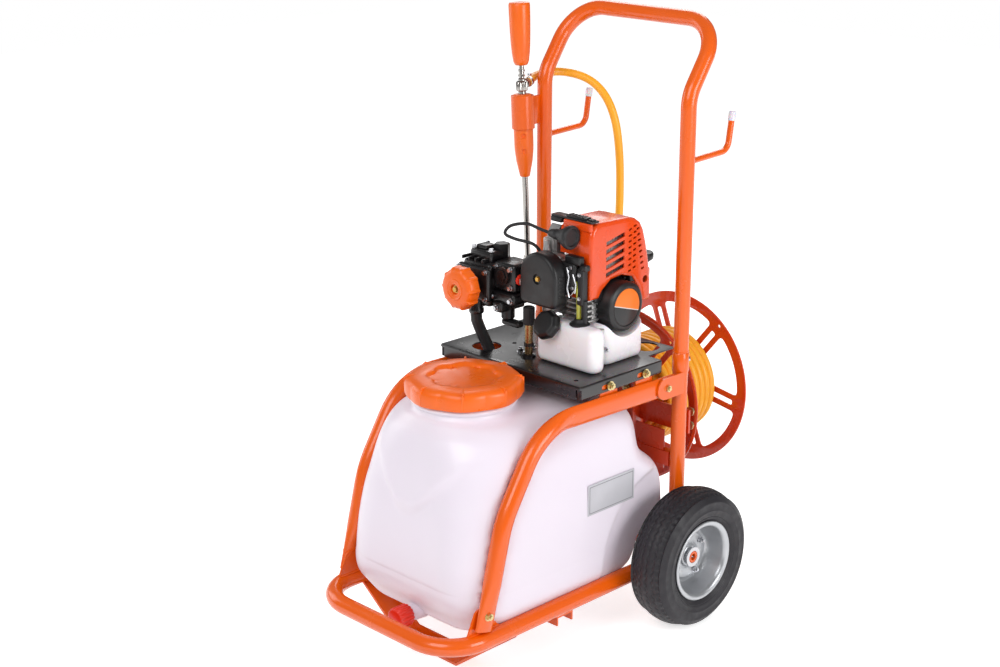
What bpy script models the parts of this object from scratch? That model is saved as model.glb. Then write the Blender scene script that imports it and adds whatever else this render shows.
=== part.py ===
"""Wheeled sprayer cart: tubular trolley, 30 litre tank, engine pump set, hose reel and spray gun.

Working frame: X across the cart (+X is the right wheel), Y along it (+Y is the operator's side),
Z up from the ground, zero under the middle of the axle. The root empty then moves everything so
that the origin lies under the middle of the whole cart. Lengths are in metres.
"""
import math

import bmesh
import bpy
from mathutils import Matrix, Vector

MM = 0.001
GAP = 0.3 * MM                    # clearance left between pieces that touch

# ---- wheels and axle
TYRE_OD = 230 * MM
TYRE_WIDTH = 73 * MM
RIM_OD = 133 * MM
RIM_WIDTH = 58 * MM
AXLE_D = 20 * MM

# ---- tubular frame
BASE_TUBE = 28 * MM
UPRIGHT_TUBE = 25 * MM
HALF_TRACK = 154 * MM             # centre line of rails, hoops and uprights
WHEEL_X = HALF_TRACK + 62 * MM    # middle plane of the right wheel
AXLE_END_X = WHEEL_X + 10 * MM
RAIL_Z = 85 * MM
FRONT_Y = -477 * MM
CORNER_R = 70 * MM
UPRIGHT_Y = 40 * MM
JOINT_Z = 440 * MM                # where the handle is plugged onto the uprights
COLLAR_Z = 408 * MM
HANDLE_Z = 961 * MM
HANDLE_Y = 113 * MM
BEND_Z = 854 * MM
HANDLE_BEND_R = 60 * MM
HANDLE_CORNER_R = 65 * MM
HOOP_TOP_Z = 395 * MM
HOOP_FLAT = 34 * MM               # height of the flattened tube
HOOP_THICK = 12 * MM
SHEET = 3 * MM

# ---- tray
TRAY_HALF = HALF_TRACK + 2 * MM
TRAY_FRONT = -201 * MM
TRAY_BACK = -8 * MM
TRAY_TONGUE = 56 * MM
TRAY_TOP = 438 * MM
TRAY_FLANGE = 22 * MM
TRAY_SHEET = 2.5 * MM
TRAY_HOLE_R = 24 * MM
TRAY_HOLE = (-93 * MM, -156 * MM)

# ---- tank and its cap
TANK_WALL = 4 * MM
NECK_Y = -296 * MM
NECK_R = 80 * MM
NECK_TOP = 424 * MM
CAP_R = NECK_R + 13 * MM
CAP_TOP = 445 * MM
CAP_SKIRT = 30 * MM

# ---- engine and pump
CRANK_Y = -53 * MM
CRANK_Z = 527 * MM
PUMP_X = -95 * MM
PUMP_Z = 547 * MM
WHEEL_KNOB_R = 35.5 * MM
POST_X = -7 * MM
POST_Y = -146 * MM
POST_D = 13 * MM

# ---- hose reel, its shaft along Y
REEL_Z = 318 * MM
REEL_R = 152 * MM
REEL_FRONT = 90 * MM
REEL_BACK = 219 * MM
REEL_SHEET = 3 * MM
REEL_RIM = 18 * MM
REEL_HUB_R = 50 * MM
DRUM_R = 42 * MM
WINDING_R = 92 * MM
SHAFT_D = 18 * MM
KNOB_LENGTH = 75 * MM
HOSE_D = 14 * MM

# ---- spray gun in its sleeve
GUN_X = -HALF_TRACK - 3 * MM
GUN_Y = -9 * MM
GUN_LEAN = math.radians(3)
SLEEVE_R = 19 * MM
GRIP_R = 16 * MM
SLEEVE_BOTTOM = 768 * MM
SLEEVE_TOP = 823 * MM
LANCE_D = 10 * MM

KNOB_END = REEL_BACK + REEL_SHEET + KNOB_LENGTH
TUBE_SIDES = 12
CENTRE_Y = (FRONT_Y - BASE_TUBE / 2 * math.cos(math.pi / TUBE_SIDES) + KNOB_END) / 2

X_AXIS = Vector((1, 0, 0))
Y_AXIS = Vector((0, 1, 0))
Z_AXIS = Vector((0, 0, 1))

for old in list(bpy.data.objects):
    bpy.data.objects.remove(old, do_unlink=True)

root = bpy.data.objects.new("root", None)
bpy.context.collection.objects.link(root)
root.location = (0, -CENTRE_Y, 0)


# ---------------------------------------------------------------- materials
def paint(name, colour, roughness, metallic=0.0):
    """A plain Principled material from an sRGB colour triple."""
    material = bpy.data.materials.new(name)
    material.use_nodes = True
    shader = material.node_tree.nodes["Principled BSDF"]
    linear = [((c + 0.055) / 1.055) ** 2.4 if c > 0.04 else c / 12.92 for c in colour]
    shader.inputs["Base Color"].default_value = (*linear, 1)
    shader.inputs["Roughness"].default_value = roughness
    shader.inputs["Metallic"].default_value = metallic
    return material


ORANGE = paint("orange_powder_coat", (0.94, 0.38, 0.09), 0.35)
RED_ORANGE = paint("red_orange_coat", (0.86, 0.26, 0.10), 0.4)
ORANGE_PLASTIC = paint("orange_plastic", (0.97, 0.43, 0.12), 0.4)
WHITE_HDPE = paint("natural_hdpe", (0.93, 0.91, 0.93), 0.45)
BLACK_PLASTIC = paint("black_plastic", (0.10, 0.10, 0.11), 0.45)
BLACK_STEEL = paint("black_coated_steel", (0.13, 0.12, 0.13), 0.35)
CAST_ALLOY = paint("cast_aluminium", (0.70, 0.69, 0.68), 0.4, 1.0)
STEEL = paint("bright_steel", (0.75, 0.74, 0.72), 0.25, 1.0)
RIM_GREY = paint("grey_painted_steel", (0.66, 0.66, 0.67), 0.35, 0.6)
RUBBER = paint("black_rubber", (0.14, 0.14, 0.15), 0.7)
YELLOW_HOSE = paint("yellow_hose", (0.98, 0.63, 0.12), 0.4)
RED_PLASTIC = paint("red_plastic", (0.85, 0.15, 0.10), 0.4)
GREEN_TUBE = paint("green_yellow_tube", (0.72, 0.72, 0.30), 0.4)


# ---------------------------------------------------------------- shape helpers
def add(name, bm, material, origin=(0, 0, 0)):
    """Turn a bmesh, drawn in the working frame, into an object whose own origin is given."""
    bmesh.ops.remove_doubles(bm, verts=bm.verts, dist=1e-6)
    bmesh.ops.recalc_face_normals(bm, faces=bm.faces)
    bmesh.ops.translate(bm, verts=bm.verts, vec=-Vector(origin))
    mesh = bpy.data.meshes.new(name)
    bm.to_mesh(mesh)
    bm.free()
    mesh.shade_smooth()
    mesh.set_sharp_from_angle(angle=math.radians(35))
    mesh.materials.append(material)
    piece = bpy.data.objects.new(name, mesh)
    bpy.context.collection.objects.link(piece)
    piece.parent = root
    piece.location = origin
    return piece


def combine(target, bm, operation):
    """Union or subtract a second shape with an exact Boolean modifier."""
    tool = add(f"{target.name}_tool", bm, target.data.materials[0])
    tool.hide_render = True
    tool.display_type = "WIRE"
    modifier = target.modifiers.new(operation.lower(), "BOOLEAN")
    modifier.operation = operation
    modifier.object = tool
    return tool


def weld(target, bm):
    return combine(target, bm, "UNION")


def cut(target, bm):
    return combine(target, bm, "DIFFERENCE")


def skin(rings, closed=False):
    """Skin a list of equal rings of points; open stacks get flat end caps."""
    bm = bmesh.new()
    loops = [[bm.verts.new(point) for point in ring] for ring in rings]
    pairs = list(zip(loops, loops[1:]))
    if closed:
        pairs.append((loops[-1], loops[0]))
    for low, high in pairs:
        for i in range(len(low)):
            j = (i + 1) % len(low)
            bm.faces.new((low[i], low[j], high[j], high[i]))
    if not closed:
        bm.faces.new(loops[0][::-1])
        bm.faces.new(loops[-1])
    return bm


def box(low, high, bevel=0.0, segments=2):
    """A block between two opposite corners, its edges rounded."""
    low, high = Vector(low), Vector(high)
    bm = bmesh.new()
    bmesh.ops.create_cube(bm, size=1)
    bmesh.ops.scale(bm, verts=bm.verts, vec=high - low)
    bmesh.ops.translate(bm, verts=bm.verts, vec=(low + high) / 2)
    if bevel:
        bmesh.ops.bevel(bm, geom=bm.edges[:], offset=bevel, segments=segments, affect="EDGES", profile=0.5)
    return bm


def turned(profile, centre, axis, sides=24, wave=None, loop=False):
    """Turn (radius, height) points about an axis; loop closes the profile into a ring.

    wave(angle) adds to the radius of the points that carry a third value, times that value.
    """
    turn = Z_AXIS.rotation_difference(Vector(axis).normalized()).to_matrix()
    bm = bmesh.new()
    rows = []
    for radius, height, *ripple in profile:
        if radius == 0:
            rows.append([bm.verts.new(Vector(centre) + turn @ Vector((0, 0, height)))])
            continue
        row = []
        for k in range(sides):
            angle = 2 * math.pi * k / sides
            r = radius + (ripple[0] * wave(angle) if ripple else 0)
            spot = Vector((r * math.cos(angle), r * math.sin(angle), height))
            row.append(bm.verts.new(Vector(centre) + turn @ spot))
        rows.append(row)
    pairs = list(zip(rows, rows[1:]))
    if loop:
        pairs.append((rows[-1], rows[0]))
    for low, high in pairs:
        for k in range(sides):
            n = (k + 1) % sides
            corners = [low[k % len(low)], low[n % len(low)], high[n % len(high)], high[k % len(high)]]
            bm.faces.new(list(dict.fromkeys(corners)))
    return bm


def rod(centre, axis, radius, start, end, sides=16, chamfer=0.0):
    """A round bar about an axis through centre, between two distances along it."""
    profile = [(0, start), (radius - chamfer, start)]
    if chamfer:
        profile += [(radius, start + chamfer), (radius, end - chamfer)]
    profile += [(radius - chamfer, end), (0, end)]
    return turned(profile, centre, axis, sides)


def prism(outline, axis, start, end):
    """Extrude a flat outline; its points are (y, z), (x, z) or (x, y) for axis X, Y or Z."""
    def place(u, v, w):
        return {"X": (w, u, v), "Y": (u, w, v), "Z": (u, v, w)}[axis]
    return skin([[place(u, v, start) for u, v in outline], [place(u, v, end) for u, v in outline]])


def arc(centre, radius, start, end, steps):
    """Points on an arc, angles in degrees."""
    angles = [math.radians(start + (end - start) * k / steps) for k in range(steps + 1)]
    return [(centre[0] + radius * math.cos(a), centre[1] + radius * math.sin(a)) for a in angles]


def rounded_route(corners, radii, turn_step=15):
    """Replace the inner corners of a 3-D line by arcs of the given radii."""
    corners = [Vector(c) for c in corners]
    route = [corners[0]]
    for before, corner, after, radius in zip(corners, corners[1:], corners[2:], radii):
        inward, outward = (before - corner).normalized(), (after - corner).normalized()
        half = inward.angle(outward) / 2
        setback = radius / math.tan(half)
        middle = corner + (inward + outward).normalized() * radius / math.sin(half)
        first = corner + inward * setback - middle
        last = corner + outward * setback - middle
        steps = max(2, round(math.degrees(math.pi - 2 * half) / turn_step))
        axis = first.cross(last).normalized()
        for k in range(steps + 1):
            turn = Matrix.Rotation(first.angle(last) * k / steps, 3, axis)
            route.append(middle + turn @ first)
    return route + [corners[-1]]


def tube(route, radius, sides=TUBE_SIDES, flat=None, up=None):
    """Sweep a round section along a route; flat(k) gives two scale factors at point k."""
    route = [Vector(p) for p in route]
    last = len(route) - 1
    tangents = [(route[min(k + 1, last)] - route[max(k - 1, 0)]).normalized() for k in range(last + 1)]
    side = (up or (X_AXIS if abs(tangents[0].x) < 0.9 else Z_AXIS)).copy()
    rings = []
    for k, (point, tangent) in enumerate(zip(route, tangents)):
        side = (side - tangent * side.dot(tangent)).normalized()
        other = tangent.cross(side)
        wide, tall = flat(k) if flat else (1, 1)
        ring = []
        for n in range(sides):
            angle = 2 * math.pi * (n + 0.5) / sides
            ring.append(point + side * math.cos(angle) * radius * wide + other * math.sin(angle) * radius * tall)
        rings.append(ring)
    return skin(rings)


def smooth_route(points, count):
    """Evenly spaced points on a smooth (Catmull-Rom) curve through chosen points."""
    points = [Vector(p) for p in points]
    ends = [2 * points[0] - points[1]] + points + [2 * points[-1] - points[-2]]
    fine = []
    for a, b, c, d in zip(ends, ends[1:], ends[2:], ends[3:]):
        for k in range(20):
            t = k / 20
            fine.append(0.5 * (2 * b + (c - a) * t + (2 * a - 5 * b + 4 * c - d) * t ** 2
                               + (3 * b - a - 3 * c + d) * t ** 3))
    fine.append(points[-1])
    lengths = [0]
    for a, b in zip(fine, fine[1:]):
        lengths.append(lengths[-1] + (b - a).length)
    route = []
    for k in range(count):
        target = lengths[-1] * k / (count - 1)
        n = max(i for i, length in enumerate(lengths) if length <= target + 1e-9)
        if n == len(fine) - 1:
            route.append(fine[-1])
            continue
        share = (target - lengths[n]) / (lengths[n + 1] - lengths[n])
        route.append(fine[n].lerp(fine[n + 1], share))
    return route


def hose(name, points, diameter, count, material, resolution=2):
    """A curve object with a round bevel and filled caps through smooth points."""
    curve = bpy.data.curves.new(name, "CURVE")
    curve.dimensions = "3D"
    curve.bevel_depth = diameter / 2
    curve.bevel_resolution = resolution
    curve.use_fill_caps = True
    curve.render_resolution_u = 0
    spline = curve.splines.new("POLY")
    route = smooth_route(points, count)
    spline.points.add(len(route) - 1)
    for spot, place in zip(spline.points, route):
        spot.co = (*place, 1)
    curve.materials.append(material)
    piece = bpy.data.objects.new(name, curve)
    bpy.context.collection.objects.link(piece)
    piece.parent = root
    return piece


def pierced(outlines, centre, start, end):
    """A plate across Y: the first outline is the rim, the others are windows in it."""
    curve = bpy.data.curves.new("outline", "CURVE")
    curve.dimensions = "2D"
    curve.fill_mode = "BOTH"
    curve.extrude = (end - start) / 2
    for outline in outlines:
        spline = curve.splines.new("POLY")
        spline.use_cyclic_u = True
        spline.points.add(len(outline) - 1)
        for spot, (u, v) in zip(spline.points, outline):
            spot.co = (u, v, 0, 1)
    holder = bpy.data.objects.new("outline", curve)
    mesh = bpy.data.meshes.new_from_object(holder)
    bm = bmesh.new()
    bm.from_mesh(mesh)
    stand = Matrix(((1, 0, 0, 0), (0, 0, -1, 0), (0, 1, 0, 0), (0, 0, 0, 1)))
    bm.transform(Matrix.Translation((centre[0], (start + end) / 2, centre[1])) @ stand)
    bpy.data.objects.remove(holder)
    bpy.data.curves.remove(curve)
    bpy.data.meshes.remove(mesh)
    return bm


# ---------------------------------------------------------------- trolley frame
BASE_R = BASE_TUBE / 2
UP_R = UPRIGHT_TUBE / 2
RAIL_TOP = RAIL_Z + BASE_R
RAIL_END = UPRIGHT_Y + UP_R + 4 * MM
AXLE_Z = TYRE_OD / 2

rail_line = rounded_route(
    [(-HALF_TRACK, RAIL_END, RAIL_Z), (-HALF_TRACK, FRONT_Y, RAIL_Z),
     (HALF_TRACK, FRONT_Y, RAIL_Z), (HALF_TRACK, RAIL_END, RAIL_Z)], [CORNER_R, CORNER_R])
base_frame = add("base_frame", tube(rail_line, BASE_R), ORANGE)
GUSSET_Y = -405 * MM
GUSSET_X = HALF_TRACK - 4 * MM
GUSSET_TOP = RAIL_TOP + 38 * MM
for side in (1, -1):
    inner, outer = sorted((side * (GUSSET_X - SHEET), side * GUSSET_X))
    gusset = [(GUSSET_Y - 32 * MM, RAIL_TOP - 3 * MM), (GUSSET_Y + 36 * MM, RAIL_TOP - 3 * MM),
              (GUSSET_Y + 12 * MM, GUSSET_TOP), (GUSSET_Y - 10 * MM, GUSSET_TOP)]
    weld(base_frame, prism(gusset, "X", inner, outer))

# bowed front foot under the rails, a strip with its rear edge folded up
FOOT_Y = -360 * MM
FOOT_HALF = 66 * MM
FOOT_WIDTH = 40 * MM
FOOT_SHEET = 4 * MM
foot_top = RAIL_Z - BASE_R - GAP
arm = math.atan2(foot_top, HALF_TRACK + 6 * MM - FOOT_HALF)


def foot_outline(lift):
    """Trough outline under the rails; lift makes the folded edge taller."""
    lower = [(-HALF_TRACK - 6 * MM, foot_top), (-FOOT_HALF, 0), (FOOT_HALF, 0), (HALF_TRACK + 6 * MM, foot_top)]
    shift = (FOOT_SHEET + lift) / math.sin(arm)
    rise = FOOT_SHEET + lift
    inset = FOOT_HALF - rise * math.tan(arm / 2)
    upper = [(HALF_TRACK + 6 * MM - shift, foot_top), (inset, rise), (-inset, rise),
             (-HALF_TRACK - 6 * MM + shift, foot_top)]
    return lower + upper


front_foot = add("front_foot", prism(foot_outline(0), "Y", FOOT_Y - FOOT_WIDTH / 2, FOOT_Y + FOOT_WIDTH / 2), ORANGE)
weld(front_foot, prism(foot_outline(8 * MM), "Y", FOOT_Y + FOOT_WIDTH / 2 - FOOT_SHEET, FOOT_Y + FOOT_WIDTH / 2))

CHANNEL_Y = -231 * MM
CHANNEL_WIDTH = 36 * MM
CHANNEL_DROP = 16 * MM
half = CHANNEL_WIDTH / 2
add("tank_channel", prism(
    [(CHANNEL_Y - half, foot_top), (CHANNEL_Y - half, foot_top - CHANNEL_DROP),
     (CHANNEL_Y - half + SHEET, foot_top - CHANNEL_DROP), (CHANNEL_Y - half + SHEET, foot_top - SHEET),
     (CHANNEL_Y + half - SHEET, foot_top - SHEET), (CHANNEL_Y + half - SHEET, foot_top - CHANNEL_DROP),
     (CHANNEL_Y + half, foot_top - CHANNEL_DROP), (CHANNEL_Y + half, foot_top)],
    "X", -HALF_TRACK - 4 * MM, HALF_TRACK + 4 * MM), ORANGE)

# axle tube with open ends
axle = add("axle", rod((0, 0, AXLE_Z), X_AXIS, AXLE_D / 2, -AXLE_END_X, AXLE_END_X, 20), ORANGE)
for side in (1, -1):
    cut(axle, rod((0, 0, AXLE_Z), X_AXIS, 5.5 * MM, *sorted((side * (AXLE_END_X - 25 * MM), side * (AXLE_END_X + 5 * MM)))))

EAR_LOW = HOOP_TOP_Z - 22 * MM
EAR_HIGH = HOOP_TOP_Z + 14 * MM
EAR_FRONT = -16 * MM
EAR_X = HALF_TRACK + 9 * MM
PLATE_TOP = AXLE_Z + AXLE_D / 2 + 8 * MM
for side, word in ((1, "right"), (-1, "left")):
    x = side * HALF_TRACK
    collar_r = UP_R + 1 * MM
    upright = add(f"upright_{word}", turned(
        [(0, RAIL_TOP + GAP), (UP_R, RAIL_TOP + GAP), (UP_R, COLLAR_Z), (collar_r, COLLAR_Z),
         (collar_r, JOINT_Z - GAP), (0, JOINT_Z - GAP)], (x, UPRIGHT_Y, 0), Z_AXIS, 16), ORANGE)
    plate_low = RAIL_TOP + 0.8 * MM
    plate = [(UPRIGHT_Y, plate_low), (UPRIGHT_Y, PLATE_TOP + 16 * MM), (10 * MM, PLATE_TOP),
             (-12 * MM, PLATE_TOP), (-20 * MM, plate_low)]
    weld(upright, prism(plate, "X", x - SHEET, x + SHEET))
    cut(upright, rod((0, 0, AXLE_Z), X_AXIS, AXLE_D / 2 + GAP, x - 10 * MM, x + 10 * MM, 20))
    ear = [(EAR_FRONT, EAR_LOW), (UPRIGHT_Y, EAR_LOW), (UPRIGHT_Y, EAR_HIGH), (EAR_FRONT, EAR_HIGH)]
    inner, outer = sorted((side * EAR_X, side * (EAR_X + SHEET)))
    weld(upright, prism(ear, "X", inner, outer))

# side hoops: round tube, pressed flat where it is bolted and along the tray
HOOP_Y = (-408 * MM, -366 * MM, -285 * MM, 20 * MM)
HOOP_Z = (RAIL_TOP + 6 * MM, 268 * MM, HOOP_TOP_Z + 2 * MM, HOOP_TOP_Z - 4 * MM)
hoop_r = BASE_R
FLAT_SIDE = HOOP_THICK / BASE_TUBE
FLAT_TALL = HOOP_FLAT / BASE_TUBE


def hoop_line(x):
    corners = [(x, y, z) for y, z in zip(HOOP_Y, HOOP_Z)]
    low = Vector(corners[0]).lerp(Vector(corners[1]), 0.22)
    mid = Vector(corners[0]).lerp(Vector(corners[1]), 0.34)
    far = Vector(corners[3]).lerp(Vector(corners[2]), 0.78)
    bend = rounded_route(corners, [160 * MM, 110 * MM])
    return [bend[0], low, mid] + bend[1:-1] + [far, bend[-1]]


def hoop_flat(k, last):
    """Pressed flat at both ends, round between."""
    if k <= 1:
        return FLAT_SIDE, 1.25
    if k >= last - 1:
        return FLAT_SIDE, FLAT_TALL
    return 1, 1


LUG_Y = (-132 * MM, -49 * MM)
LUG_Z = 425 * MM
for side, word in ((1, "right"), (-1, "left")):
    line = hoop_line(side * (HALF_TRACK + 2.5 * MM))
    last = len(line) - 1
    hoop = add(f"hoop_{word}", tube(line, hoop_r, flat=lambda k: hoop_flat(k, last), up=X_AXIS), ORANGE)
    tab_out = TRAY_HALF - TRAY_SHEET - GAP
    inner, outer = sorted((side * (tab_out - SHEET), side * tab_out))
    for y in LUG_Y:
        weld(hoop, box((inner, y - 13 * MM, HOOP_TOP_Z), (outer, y + 13 * MM, LUG_Z + 9 * MM)))

# upper handle, one bent tube plugged onto the uprights
handle_line = rounded_route(
    [(-HALF_TRACK, UPRIGHT_Y, JOINT_Z), (-HALF_TRACK, UPRIGHT_Y, BEND_Z), (-HALF_TRACK, HANDLE_Y, HANDLE_Z),
     (HALF_TRACK, HANDLE_Y, HANDLE_Z), (HALF_TRACK, UPRIGHT_Y, BEND_Z), (HALF_TRACK, UPRIGHT_Y, JOINT_Z)],
    [HANDLE_BEND_R, HANDLE_CORNER_R, HANDLE_CORNER_R, HANDLE_BEND_R], 18)
add("handle", tube(handle_line, UP_R), ORANGE)

HOOK_Z = 755 * MM
HOOK_D = 10 * MM
HOOK_REACH = 88 * MM
HOOK_RISE = 50 * MM
for side, word in ((1, "right"), (-1, "left")):
    x = side * HALF_TRACK
    foot = UPRIGHT_Y + UP_R + GAP
    line = rounded_route(
        [(x, foot, HOOK_Z - 4 * MM), (x, foot + HOOK_REACH, HOOK_Z), (x, foot + HOOK_REACH + 8 * MM, HOOK_Z + HOOK_RISE)],
        [18 * MM], 25)
    add(f"hook_{word}", tube(line, HOOK_D / 2, 10), ORANGE)
    tip = line[-1]
    along = (line[-1] - line[-2]).normalized()
    add(f"hook_tip_{word}", rod(tip, along, HOOK_D / 2 + 0.6 * MM, GAP, 12 * MM, 12, 1 * MM), WHITE_HDPE)

# ---------------------------------------------------------------- tray
inside = TRAY_HALF - TRAY_SHEET
tray = add("tray", box((-TRAY_HALF, TRAY_FRONT, TRAY_TOP - TRAY_FLANGE), (TRAY_HALF, TRAY_BACK, TRAY_TOP)), BLACK_STEEL)
cut(tray, box((-inside, TRAY_FRONT + TRAY_SHEET, TRAY_TOP - TRAY_FLANGE - 5 * MM),
              (inside, TRAY_BACK - TRAY_SHEET, TRAY_TOP - TRAY_SHEET)))
TONGUE_HALF = HALF_TRACK - UP_R - 5 * MM
weld(tray, box((-TONGUE_HALF, TRAY_BACK - 10 * MM, TRAY_TOP - TRAY_SHEET), (TONGUE_HALF, TRAY_TONGUE, TRAY_TOP)))
for x, y in (TRAY_HOLE, (92 * MM, 24 * MM)):
    cut(tray, rod((x, y, TRAY_TOP), Z_AXIS, TRAY_HOLE_R, -10 * MM, 10 * MM, 24))

# ---------------------------------------------------------------- tank
# level, front, rear, half width, corner radius, and whether the wall there is floor (1) or roof (-1)
TANK_FLOOR = RAIL_Z - BASE_R + 2.5 * MM
LEDGE = RAIL_TOP + GAP
KEEL = HALF_TRACK - BASE_R - 5 * MM
TUNNEL = AXLE_Z + AXLE_D / 2 + 13 * MM
TRACK = HALF_TRACK / MM
TANK_SECTIONS = [
    (TANK_FLOOR, -392, -78, KEEL / MM - 16, 40, 1), (TANK_FLOOR + 7 * MM, -403, -62, KEEL / MM - 2, 45, 1),
    (LEDGE - 0.4 * MM, -408, -50, KEEL / MM, 46, 1), (LEDGE, -410, -48, TRACK - 3, 46, 1),
    (LEDGE + 16 * MM, -424, -39, TRACK + 6, 60, 1), (TUNNEL - 1 * MM, -428, -34, TRACK + 7, 62, 1),
    (TUNNEL, -428, 14, TRACK + 7, 62, 1), (TUNNEL + 12 * MM, -429, 24, TRACK + 8, 62, 1),
    (0.235, -424, 24, TRACK + 8, 66, 0), (0.262, -420, 8, TRACK + 7, 68, -1), (0.285, -414, -24, TRACK + 6, 70, -1),
    (0.302, -411, -33, TRACK + 6, 70, 0), (0.345, -399, -37, TRACK + 1, 75, 0), (0.372, -390, -52, TRACK - 11, 80, -1),
    (0.385, -386, -76, TRACK - 28, 84, -1), (0.391, -384, -112, TRACK - 50, 82, -1),
    (0.394, NECK_Y / MM - NECK_R / MM - 5, NECK_Y / MM + NECK_R / MM + 5, NECK_R / MM + 5, NECK_R / MM + 5, -1),
    (0.399, NECK_Y / MM - NECK_R / MM, NECK_Y / MM + NECK_R / MM, NECK_R / MM, NECK_R / MM, -1)]


def tank_ring(level, front, rear, half_width, corner, points=8):
    """Rounded rectangle at one level, in metres."""
    ring = []
    centres = ((half_width - corner, rear - corner, 0), (-half_width + corner, rear - corner, 90),
               (-half_width + corner, front + corner, 180), (half_width - corner, front + corner, 270))
    for cx, cy, start in centres:
        ring += [(px, py, level) for px, py in arc((cx, cy), corner, start, start + 90, points - 1)]
    return ring


def tank_loft(offset, neck_top):
    """The tank's body, shrunk by offset for the inside, with its neck."""
    rings = []
    for level, front, rear, width, corner, slope in TANK_SECTIONS:
        rings.append(tank_ring(level + slope * offset, front * MM + offset, rear * MM - offset,
                               width * MM - offset, corner * MM - offset))
    r = NECK_R - offset
    rings.append(tank_ring(neck_top, NECK_Y - r, NECK_Y + r, r, r - 0.01 * MM))
    return skin(rings)


tank = add("tank", tank_loft(0, NECK_TOP), WHITE_HDPE)
cavity = cut(tank, tank_loft(TANK_WALL, NECK_TOP + 10 * MM))
for side in (1, -1):
    line = hoop_line(side * (HALF_TRACK + 2.5 * MM))
    last = len(line) - 1
    cut(tank, tube(line, hoop_r + 2.2 * MM, flat=lambda k: hoop_flat(k, last), up=X_AXIS))
    cut(cavity, tube(line, hoop_r + 2.2 * MM + TANK_WALL, flat=lambda k: (1, 1), up=X_AXIS))
    inner, outer = sorted((side * (GUSSET_X - SHEET - 2 * MM), side * (HALF_TRACK + 20 * MM)))
    cut(tank, box((inner, FRONT_Y, RAIL_TOP - 5 * MM), (outer, GUSSET_Y + 39 * MM, GUSSET_TOP + 3 * MM)))
    inner, outer = sorted((side * (GUSSET_X - SHEET - 2 * MM - TANK_WALL), side * (HALF_TRACK + 20 * MM)))
    cut(cavity, box((inner, FRONT_Y, RAIL_TOP - 5 * MM), (outer, GUSSET_Y + 43 * MM, GUSSET_TOP + 7 * MM)))
# the cavity is pared first and the tank is cut with the pared cavity
SUCTION_X, SUCTION_Y = TRAY_HOLE[0] + 9 * MM, TRAY_HOLE[1] - 2 * MM
SUCTION_D = 19 * MM
cut(tank, rod((SUCTION_X, SUCTION_Y, 0.38), Z_AXIS, SUCTION_D / 2 + 1 * MM, -20 * MM, 20 * MM, 16))
DRAIN_X = 4 * MM
DRAIN_Z = TANK_FLOOR + 10 * MM
DRAIN_Y = -418 * MM
DRAIN_R = 17 * MM
weld(tank, rod((DRAIN_X, DRAIN_Y, DRAIN_Z), Y_AXIS, DRAIN_R - 6 * MM, -14 * MM, 32 * MM, 16))

LOBES = 8


def cap_wave(angle):
    """Flats between eight rounded lobes."""
    return abs(math.cos(LOBES / 2 * angle)) ** 0.5


cap_low = CAP_TOP - CAP_SKIRT
add("tank_cap", turned(
    [(0, CAP_TOP - 4 * MM), (CAP_R - 34 * MM, CAP_TOP - 4 * MM), (CAP_R - 26 * MM, CAP_TOP),
     (CAP_R - 9 * MM, CAP_TOP - 1 * MM),
     (CAP_R - 3 * MM, CAP_TOP - 5 * MM, 1), (CAP_R - 3 * MM, cap_low + 2 * MM, 1), (CAP_R - 5 * MM, cap_low, 1),
     (NECK_R + 1 * MM, cap_low), (NECK_R + 1 * MM, CAP_TOP - 10 * MM), (0, CAP_TOP - 10 * MM)],
    (0, NECK_Y, 0), Z_AXIS, 40, lambda a: 3 * MM * cap_wave(a)), ORANGE_PLASTIC, (0, NECK_Y, CAP_TOP))

sieve_r = NECK_R - TANK_WALL - 1.5 * MM
sieve = add("tank_strainer", turned(
    [(0, 0.350), (sieve_r - 8 * MM, 0.350), (sieve_r, NECK_TOP + GAP), (NECK_R - 1 * MM, NECK_TOP + GAP),
     (NECK_R - 1 * MM, NECK_TOP + 2.3 * MM), (sieve_r - 2 * MM, NECK_TOP + 2.3 * MM), (sieve_r - 10 * MM, 0.352),
     (0, 0.352)], (0, NECK_Y, 0), Z_AXIS, 24), BLACK_PLASTIC)
for k in range(4):
    slot = box((-0.1, -4 * MM, 0.362), (0.1, 4 * MM, 0.405))
    slot.transform(Matrix.Translation((0, NECK_Y, 0)) @ Matrix.Rotation(math.pi * k / 4, 4, "Z"))
    cut(sieve, slot)

add("drain_cap", turned(
    [(0, -34 * MM), (DRAIN_R - 2 * MM, -34 * MM), (DRAIN_R, -32 * MM, 1), (DRAIN_R, -6 * MM, 1),
     (DRAIN_R - 5 * MM, -6 * MM), (DRAIN_R - 5 * MM, -14.3 * MM), (0, -14.3 * MM)],
    (DRAIN_X, DRAIN_Y, DRAIN_Z), Y_AXIS, 24, lambda a: 1 * MM * math.cos(12 * a)),
    RED_PLASTIC, (DRAIN_X, DRAIN_Y - 20 * MM, DRAIN_Z))

# ---------------------------------------------------------------- engine
FUEL_TOP = 508 * MM
FUEL_FLOOR = TRAY_TOP + GAP
fuel_tank = add("fuel_tank", box((8 * MM, -150 * MM, FUEL_FLOOR), (136 * MM, -116 * MM, FUEL_TOP), 12 * MM, 2), WHITE_HDPE)
weld(fuel_tank, box((14 * MM, -104 * MM, FUEL_FLOOR), (118 * MM, -8 * MM, FUEL_TOP - 4 * MM), 13 * MM, 2))
weld(fuel_tank, box((30 * MM, -125 * MM, FUEL_FLOOR + 6 * MM), (104 * MM, -95 * MM, FUEL_FLOOR + 40 * MM), 3 * MM, 1))
cut(fuel_tank, rod((0, CRANK_Y, CRANK_Z), X_AXIS, 48 * MM, -20 * MM, 150 * MM, 24))

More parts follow.
